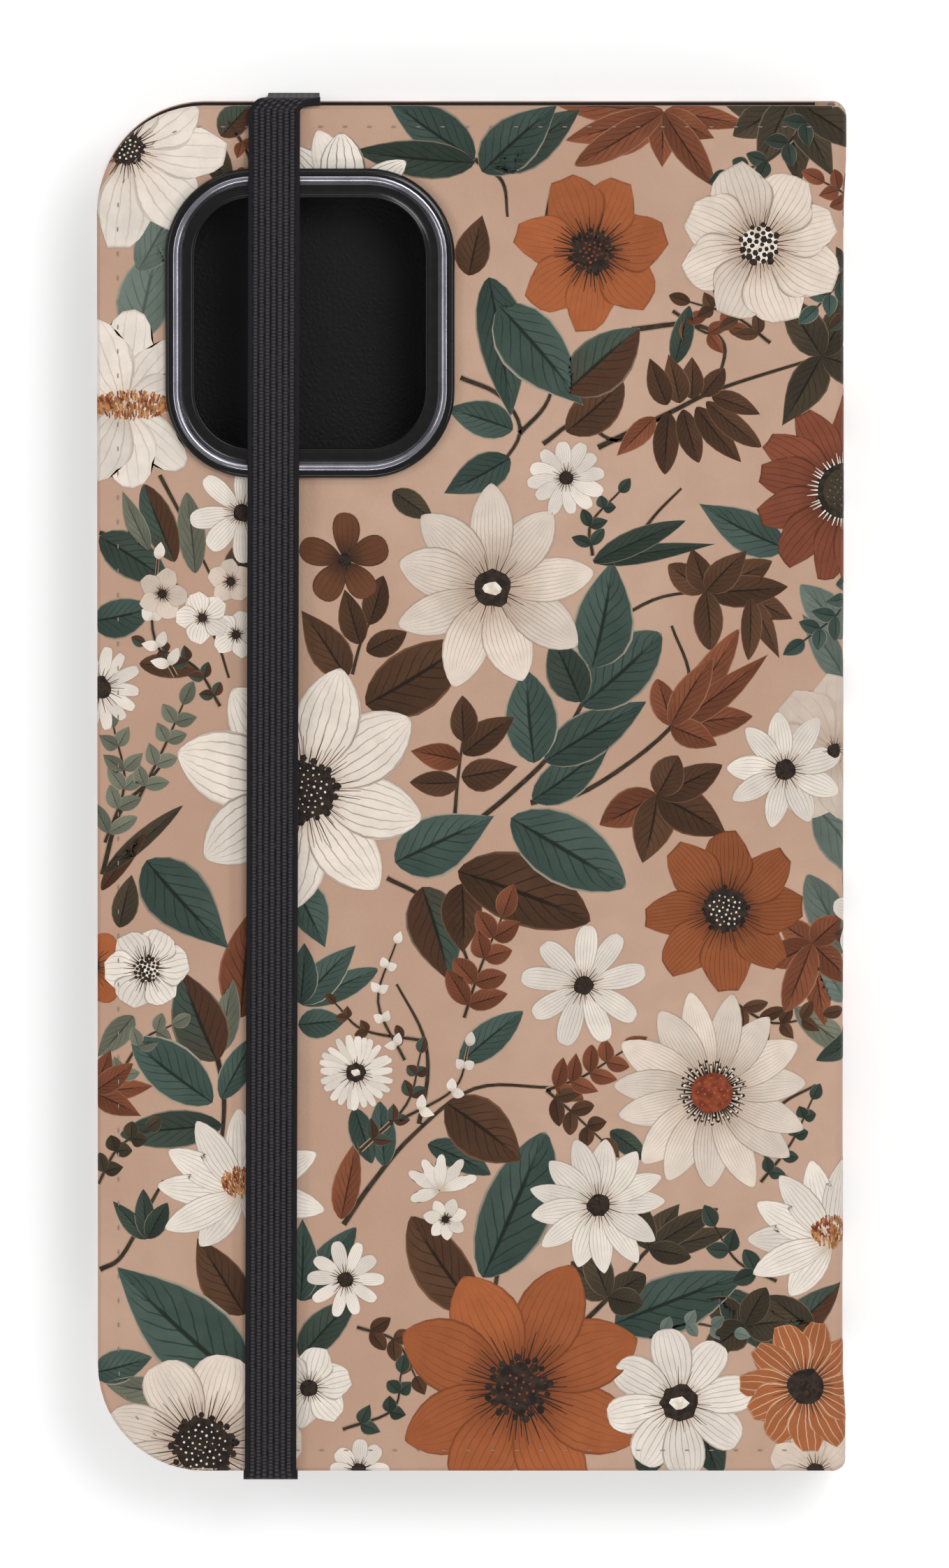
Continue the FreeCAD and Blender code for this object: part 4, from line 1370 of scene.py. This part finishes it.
def rim_inward(f):
    """How far in from the rim's outer edge a face is, in mm."""
    x = abs(f.center.x / MM - rim_x) - (rim_wide / 2 - RIM_CORNER)
    y = abs(f.center.y / MM - rim_y) - (rim_long / 2 - RIM_CORNER)
    return RIM_CORNER - math.hypot(max(x, 0), max(y, 0)) - min(max(x, y), 0)


bead = run_profile("rim", 0.0, back_out, BEAD_STEPS)
window_inset = sum(step[0] for step in BEAD_STEPS)
sleeve_foot = back_out + sum(step[1] for step in BEAD_STEPS)
under_steps = ((SLEEVE_AT, 0), (0, sleeve_foot - back_out), (window_inset - SLEEVE_AT, 0))
under = run_profile("rim_under", 0.0, back_out, under_steps)
flip(under)
only(bead)
under.select_set(True)
bpy.ops.object.join()
edit(bead)
bpy.ops.mesh.remove_doubles(threshold=0.00001)
bpy.ops.mesh.select_all(action="SELECT")
bpy.ops.mesh.normals_make_consistent(inside=False)
close_edit()
bead.name = "camera_bezel"
smooth(bead, 50)
gloss, tree, shader = paint("rim_gloss", 0.16, 0.3)
shader.inputs["Coat Weight"].default_value = 0.12
shader.inputs["Coat Roughness"].default_value = 0.08
speck = span(tree, noise(tree, 900, 3), 0.35, 0.7)
two_tone(tree, shader, speck, (14, 13, 15), (20, 18, 20))
link(tree, shader.inputs["Roughness"], calc(tree, "MULTIPLY_ADD", noise(tree, 400, 3), 0.08, 0.13))
raised(tree, shader, noise(tree, 120, 2), 0.01, 0.3)
bead.data.materials.append(gloss)
polish, tree, shader = paint("rim_polish", 0.2, 0.5)
shader.inputs["Metallic"].default_value = 1.0
haze = span(tree, noise(tree, 500, 3), 0.3, 0.7)
two_tone(tree, shader, haze, (150, 148, 158), (168, 166, 176))
link(tree, shader.inputs["Roughness"], calc(tree, "MULTIPLY_ADD", noise(tree, 300, 3), 0.1, 0.15))
bead.data.materials.append(polish)
ridge_foot = (back_out + 0.4) * MM
edit(bead, "FACE", lambda f: POLISHED[0] < rim_inward(f) < POLISHED[1] and f.center.z > ridge_foot)
bead.active_material_index = 1
bpy.ops.object.material_slot_assign()
close_edit()
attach(bead, "back_cover")
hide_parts("camera_rim")


# The elastic band is knitted: seven columns of tiny loops between deep grooves, with smooth edges.
# It comes up from the front cover at each end, lies over the back cover and climbs over the rim.
STRAP_WIDE = 5.8
STRAP_ROOM = 6.3
STRAP_LEAN = 0.25
STRAP_THICK = 0.9
STRAP_CLEAR = 0.1
STRAP_SKEW = 2.1
COLUMNS = 7
LOOP = 0.38
strap_low, strap_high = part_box("elastic_strap")
strap_x = strap_low.x / MM + STRAP_ROOM / 2 + 0.05
foot_z = strap_low.z / MM
end_y = half_length + STRAP_CLEAR + STRAP_THICK / 2
low_z = back_out + STRAP_CLEAR + STRAP_THICK / 2
high_z = strap_high.z / MM - STRAP_THICK / 2
TURN = 0.75
FLAT_TO = 74.0
SHIFT_AT = 16.6
SHIFT_OVER = 1.6
FLARE = 0.16
FLARE_AT = 77.6


def turn(y, z, start, end, radius):
    """Points of a round turn about y, z, from one angle to another."""
    angles = np.radians(np.linspace(start, end, 7))
    return [(y + radius * math.cos(a), z + radius * math.sin(a)) for a in angles]


route = [(-end_y, foot_z)]
route += turn(-end_y + TURN, low_z - TURN + 0.06, 180, 92, TURN)
route += [(rim_y - rim_long / 2 + 0.4, high_z)]
route += [(rim_y + rim_long / 2 - 0.4, high_z)]
route += turn(end_y - TURN, low_z - TURN + 0.06, 88, 0, TURN)
route += [(end_y, foot_z)]
route = np.array(route)
leg = np.hypot(*np.diff(route, axis=0).T)
along = np.concatenate([[0], np.cumsum(leg)])
loops_long = int(round(along[-1] / LOOP))
COUNT = loops_long * 3
place_along = np.linspace(0, along[-1], COUNT + 1)
line_y = np.interp(place_along, along, route[:, 0])
line_z = np.interp(place_along, along, route[:, 1])
# The band bends round the rim's edges over a few millimetres.
SOFTEN = 7
soft = np.ones(2 * SOFTEN + 1) / (2 * SOFTEN + 1)
rounded = np.stack([np.convolve(np.pad(c, SOFTEN, "edge"), soft, "valid") for c in (line_y, line_z)], 1)
flat = (np.abs(line_y) < FLAT_TO)[:, None]
line = np.where(flat, rounded, np.stack([line_y, line_z], 1))
way = np.gradient(line, axis=0)
way = way / np.hypot(way[:, 0], way[:, 1])[:, None]
up = np.stack([-way[:, 1], way[:, 0]], 1)
# Near its top end the band steps sideways, and it spreads a little where it turns over each end.
sideways = STRAP_SKEW * np.clip((place_along - (along[-1] - SHIFT_AT)) / SHIFT_OVER, 0, 1) ** 1.3
sideways = sideways + STRAP_LEAN * line[:, 0] / half_length
flare = FLARE * np.exp(-(((np.abs(line[:, 0]) - FLARE_AT) / 0.5) ** 2)) * (line[:, 1] > 14)
EDGE_WIDE = 0.5
per_column = 4
ribbed = STRAP_WIDE / 2 - EDGE_WIDE
inner = np.linspace(-ribbed, ribbed, COLUMNS * per_column + 1)
half = STRAP_WIDE / 2
across = np.concatenate([[-half, -half + 0.07, -half + 0.25], inner, [half - 0.25, half - 0.07, half]])
phase = np.arange(len(inner)) % per_column
column = np.arange(len(inner)) // per_column
crest = np.sin(math.pi * phase / per_column)
step = np.arange(COUNT + 1)
loop_wave = 0.5 + 0.5 * np.cos(2 * math.pi * (step[:, None] / 3 + 0.5 * (column[None, :] % 2)))
heights = crest[None, :] * (0.1 + 0.12 * loop_wave) - 0.22
edge_left = np.array([-0.3, -0.1, -0.02])
edges = [np.tile(e, (COUNT + 1, 1)) for e in (edge_left, edge_left[::-1])]
heights = np.concatenate([edges[0], heights, edges[1]], 1)
calm = np.clip((77.3 - np.abs(line[:, 0])) / 1.0, 0, 1)[:, None]
heights = heights * calm - 0.04 * (1 - calm)
half_thick = STRAP_THICK / 2
x_all = strap_x + across[None, :] * (1 + flare[:, None] / half) + sideways[:, None]
y_all = line[:, 0:1] + up[:, 0:1] * (half_thick + heights)
z_all = line[:, 1:2] + up[:, 1:2] * (half_thick + heights)
top = np.stack([x_all, y_all, z_all], 2)
under_x = np.stack([x_all[:, -1], x_all[:, 0]], 1)
under_y = np.repeat(line[:, 0:1] - up[:, 0:1] * half_thick, 2, 1)
under_z = np.repeat(line[:, 1:2] - up[:, 1:2] * half_thick, 2, 1)
band_points = np.concatenate([top, np.stack([under_x, under_y, under_z], 2)], 1)
per_row = band_points.shape[1]
faces = []
for row in range(0, COUNT * per_row, per_row):
    for c in range(per_row):
        after = (c + 1) % per_row
        faces.append((row + c, row + after, row + per_row + after, row + per_row + c))
faces.append(tuple(range(per_row))[::-1])
faces.append(tuple(COUNT * per_row + c for c in range(per_row)))
strap, mesh = built("knitted_strap", band_points.reshape(-1, 3) * MM, faces)
knit_uv = mesh.uv_layers.new(name="knit")
loops = np.zeros(len(mesh.loops), int)
mesh.loops.foreach_get("vertex_index", loops)
cross = np.concatenate([across, [half, -half]])
uv = np.stack([np.tile(cross, COUNT + 1), np.repeat(place_along, per_row)], 1)
knit_uv.data.foreach_set("uv", uv[loops].ravel())
face_outwards(strap)
smooth(strap, 70)
knit, tree, shader = paint("black_knit", 0.8, 0.12)
uv_node = tree.nodes.new("ShaderNodeUVMap")
uv_node.uv_map = "knit"
parts = tree.nodes.new("ShaderNodeSeparateXYZ")
link(tree, parts.inputs[0], uv_node.outputs[0])
column_place = calc(tree, "MULTIPLY_ADD", parts.outputs[0], COLUMNS / 2 / ribbed, COLUMNS / 2)
wale = calc(tree, "PINGPONG", column_place, 0.5)
# Painted light and shade: each column's crest is painted pale as a painted highlight, and the grooves
# between the columns dark as painted shade.
pale = span(tree, wale, 0.02, 0.4)
fibre = noise(tree, 2600, 3, (3, 0.5, 1))
# Loops of neighbouring columns are half a loop apart.
shifted = calc(tree, "MULTIPLY", calc(tree, "FLOOR", column_place), 0.5)
loop_place = calc(tree, "MULTIPLY_ADD", parts.outputs[1], 1 / LOOP, shifted)
# Painted highlight and shade on the loops: each loop is lighter in its middle and darker where it meets
# the next.
painted_loop_light = span(tree, calc(tree, "PINGPONG", loop_place, 0.5), 0.08, 0.36, 1.0, 0.25)
body = blended(tree, calc(tree, "MULTIPLY", pale, painted_loop_light), colour(15, 14, 15), colour(70, 67, 70))
body = blended(tree, span(tree, fibre, 0.35, 0.75, 0.0, 0.25), body, colour(70, 67, 72))
inside_edge = span(tree, calc(tree, "ABSOLUTE", parts.outputs[0]), ribbed - 0.03, ribbed + 0.07)
body = blended(tree, inside_edge, body, colour(31, 29, 32))
link(tree, shader.inputs["Base Color"], body)
shader.inputs["Sheen Weight"].default_value = 0.04
shader.inputs["Sheen Roughness"].default_value = 0.5
raised(tree, shader, fibre, 0.03, 0.5)
mesh.materials.append(knit)
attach(strap, "strap")
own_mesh(strap)
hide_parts("elastic_strap")


# A row of lockstitch runs round each cover, a little in from its edge.
# Each stitch is a short thread with its ends sunk in the skin.
STITCH_IN = 2.35
STITCH_PITCH = 2.75
STITCH_LONG = 0.6
thread, tree, shader = paint("stitch_thread", 0.6, 0.3)
twist = noise(tree, 3800, 2)
two_tone(tree, shader, twist, (132, 116, 107), (160, 143, 132))
raised(tree, shader, twist, 0.03, 0.6)


def seam_along(path):
    """Places along a line of points for stitches, with the way that each one runs."""
    path = np.array(path, float)
    gone = np.concatenate([[0], np.cumsum(np.hypot(*np.diff(path, axis=0).T))])
    at = np.arange(1.2, gone[-1] - 0.6, STITCH_PITCH)
    x, y = np.interp(at, gone, path[:, 0]), np.interp(at, gone, path[:, 1])
    ahead_x, ahead_y = np.interp(at + 0.1, gone, path[:, 0]), np.interp(at + 0.1, gone, path[:, 1])
    return np.stack([x, y, np.arctan2(ahead_y - y, ahead_x - x)], 1)


def cover_seam_path(x1):
    """The line of a cover's seam: along three sides and round two corners."""
    radius = CORNER - STITCH_IN
    low_x, high_y = open_x + STITCH_IN, half_length - STITCH_IN
    corner_x, corner_y = low_x + radius, high_y - radius
    quarter = [(radius * math.sin(a), radius * math.cos(a)) for a in np.radians(range(5, 90, 5))]
    path = [(x1, high_y), (corner_x, high_y)]
    path += [(corner_x - far, corner_y + near) for far, near in quarter]
    path += [(low_x, corner_y), (low_x, -corner_y)]
    path += [(corner_x - near, -corner_y - far) for far, near in quarter]
    return path + [(corner_x, -high_y), (x1, -high_y)]


bpy.ops.object.select_all(action="DESELECT")
bpy.ops.mesh.primitive_uv_sphere_add(segments=8, ring_count=6, radius=1)
stitch = bpy.context.object
one = points_of(stitch) * (STITCH_LONG / 2, 0.08, 0.05)
stitch_faces = [tuple(f.vertices) for f in stitch.data.polygons]
bpy.data.objects.remove(stitch)


def stitched(name, places, z, body, finish):
    """A seam: the one stitch copied to each place, at a height z, one for all or one for each."""
    points, faces = [], []
    for n, ((x, y, angle), z) in enumerate(zip(places, np.zeros(len(places)) + z)):
        c, s = math.cos(angle), math.sin(angle)
        far, near, high = one.T
        points.append(np.stack([x + far * c - near * s, y + far * s + near * c, z + high], 1) * MM)
        faces += [tuple(n * len(one) + i for i in face) for face in stitch_faces]
    seam, mesh = built(name, np.concatenate(points), faces)
    mesh.materials.append(finish)
    smooth(seam, 80)
    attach(seam, body)


cover_seam = seam_along(cover_seam_path(hinge_x - 1.5))
stitched("back_stitches", cover_seam, back_out - 0.01, "back_cover", thread)
stitched("front_stitches", cover_seam, 0.08, "front_cover", thread)


# Inside, each board is hidden by a thin black lining. A strip of the same lining crosses each
# fold on the inside.
def repaint(made, *names):
    """A CAD node keeps its shape and gets a finish."""
    for name in names:
        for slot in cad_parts[name].material_slots:
            slot.material = made


lining, tree, shader = paint("black_lining", 0.62, 0.25)
slow = noise(tree, 60, 3)
nap = noise(tree, 1400, 4)
body = blended(tree, span(tree, slow, 0.3, 0.7), colour(24, 23, 25), colour(32, 31, 33))
body = blended(tree, span(tree, nap, 0.45, 0.75, 0, 0.4), body, colour(44, 43, 45))
link(tree, shader.inputs["Base Color"], body)
link(tree, shader.inputs["Roughness"], calc(tree, "MULTIPLY_ADD", nap, 0.2, 0.5))
raised(tree, shader, nap, 0.03, 0.4)
repaint(lining, "back_lining", "front_lining", "spine_lining")

chipboard, tree, shader = paint("grey_chipboard", 0.9, 0.2)
fibre = noise(tree, 700, 5, (1, 4, 6))
two_tone(tree, shader, span(tree, fibre, 0.3, 0.7), (120, 112, 102), (158, 150, 138))
raised(tree, shader, fibre, 0.05, 0.6)
repaint(chipboard, "back_board", "front_board", "spine_board")

STRIP = (
    (38.5, 14.42),
    (39.2, 14.4),
    (39.7, 14.36),
    (40.05, 14.22),
    (40.22, 14.0),
    (40.28, 13.7),
    (40.3, 13.3),
    (40.3, 12.7),
)
STRIP_THICK = 0.25
STRIP_END = 76.4
for name, cover, hinge_z, on_front in (
    ("back_fold_lining", "back_cover", back_hinge_z, False),
    ("front_fold_lining", "front_cover", front_hinge_z, True),
):
    bpy.ops.object.select_all(action="DESELECT")
    bpy.ops.mesh.primitive_grid_add(x_subdivisions=len(STRIP) - 1, y_subdivisions=24, size=1)
    strip = bpy.context.object
    strip.name = name
    points = points_of(strip)
    index = np.rint((points[:, 0] + 0.5) * (len(STRIP) - 1)).astype(int)
    profile = np.array(STRIP)[index]
    z = back_out - profile[:, 1] if on_front else profile[:, 1]
    place_points(strip, np.stack([profile[:, 0], points[:, 1] * 2 * STRIP_END, z], 1) * MM)
    if not on_front:
        flip(strip)
    finished(strip, ("SOLIDIFY", {"thickness": STRIP_THICK * MM, "offset": -1}))
    strip.data.materials.append(lining)
    smooth(strip, 60)
    way = -1 if on_front else 1
    start = Vector((39.2, 0, hinge_z - way * 0.4)) * MM
    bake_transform(strip)


# The pockets are cut from the same black faux leather as a purse: a wide one for notes and three
# card slots like stairs, sewn down along their closed sides.
purse, tree, shader = paint("black_pocket_leather", 0.5, 0.2)
tint = noise(tree, 90, 3)
two_tone(tree, shader, span(tree, tint, 0.3, 0.7), (20, 20, 22), (27, 26, 29))
leather_grain(tree, shader, 0.03, 1500)
repaint(purse, "cash_pocket", "card_slot_top", "card_slot_mid", "card_slot_low")

black_thread, tree, shader = paint("black_thread", 0.55, 0.4)
twist = noise(tree, 3800, 2)
two_tone(tree, shader, twist, (46, 45, 48), (74, 73, 76))
raised(tree, shader, twist, 0.03, 0.6)
SEAM_IN = 1.6
cash_low, cash_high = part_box("cash_pocket")
slots = [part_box(n) for n in ("card_slot_low", "card_slot_mid", "card_slot_top", "cash_pocket")]
left_x, right_x = cash_low.x / MM + SEAM_IN, cash_high.x / MM
slot_y = slots[0][0].y / MM + SEAM_IN
end_y_low, end_y_high = cash_low.y / MM + SEAM_IN, cash_high.y / MM - SEAM_IN


def sheet_top(x, y):
    """The height of the topmost pocket sheet at a point."""
    for low, high in slots:
        if x <= high.x / MM - 0.5 and y >= low.y / MM:
            return high.z / MM
    return None


pocket_seams = []
for path in (
    ((right_x, end_y_high), (left_x, end_y_high), (left_x, end_y_low), (right_x, end_y_low)),
    ((slots[2][1].x / MM, slot_y), (left_x + 2, slot_y)),
):
    pocket_seams.extend(seam_along(path))
pocket_seams = [p for p in pocket_seams if sheet_top(p[0], p[1])]
tops = [sheet_top(x, y) + 0.02 for x, y, _ in pocket_seams]
stitched("pocket_stitches", pocket_seams, np.array(tops), "front_cover", black_thread)


# The tray is moulded in soft black plastic, fine and matt, with covers for the phone's buttons.
# A clear double-sided film holds it to the back cover.
soft_black, tree, shader = paint("soft_black_tray", 0.42, 0.3)
cloud = noise(tree, 40, 2)
spark = noise(tree, 3000, 2)
two_tone(tree, shader, span(tree, cloud, 0.3, 0.7), (20, 20, 22), (27, 27, 29))
link(tree, shader.inputs["Roughness"], calc(tree, "MULTIPLY_ADD", cloud, 0.15, 0.36))
raised(tree, shader, spark, 0.015, 0.5)
repaint(soft_black, "phone_tray", "power_button_cover", "volume_up_cover", "volume_down_cover")

film, tree, shader = paint("adhesive_film", 0.35, 0.4)
haze = noise(tree, 150, 3)
two_tone(tree, shader, haze, (196, 198, 196), (222, 223, 220))
raised(tree, shader, haze, 0.02, 0.4)
repaint(film, "tray_adhesive")
repaint(knit, "strap_end_top", "strap_end_bottom")
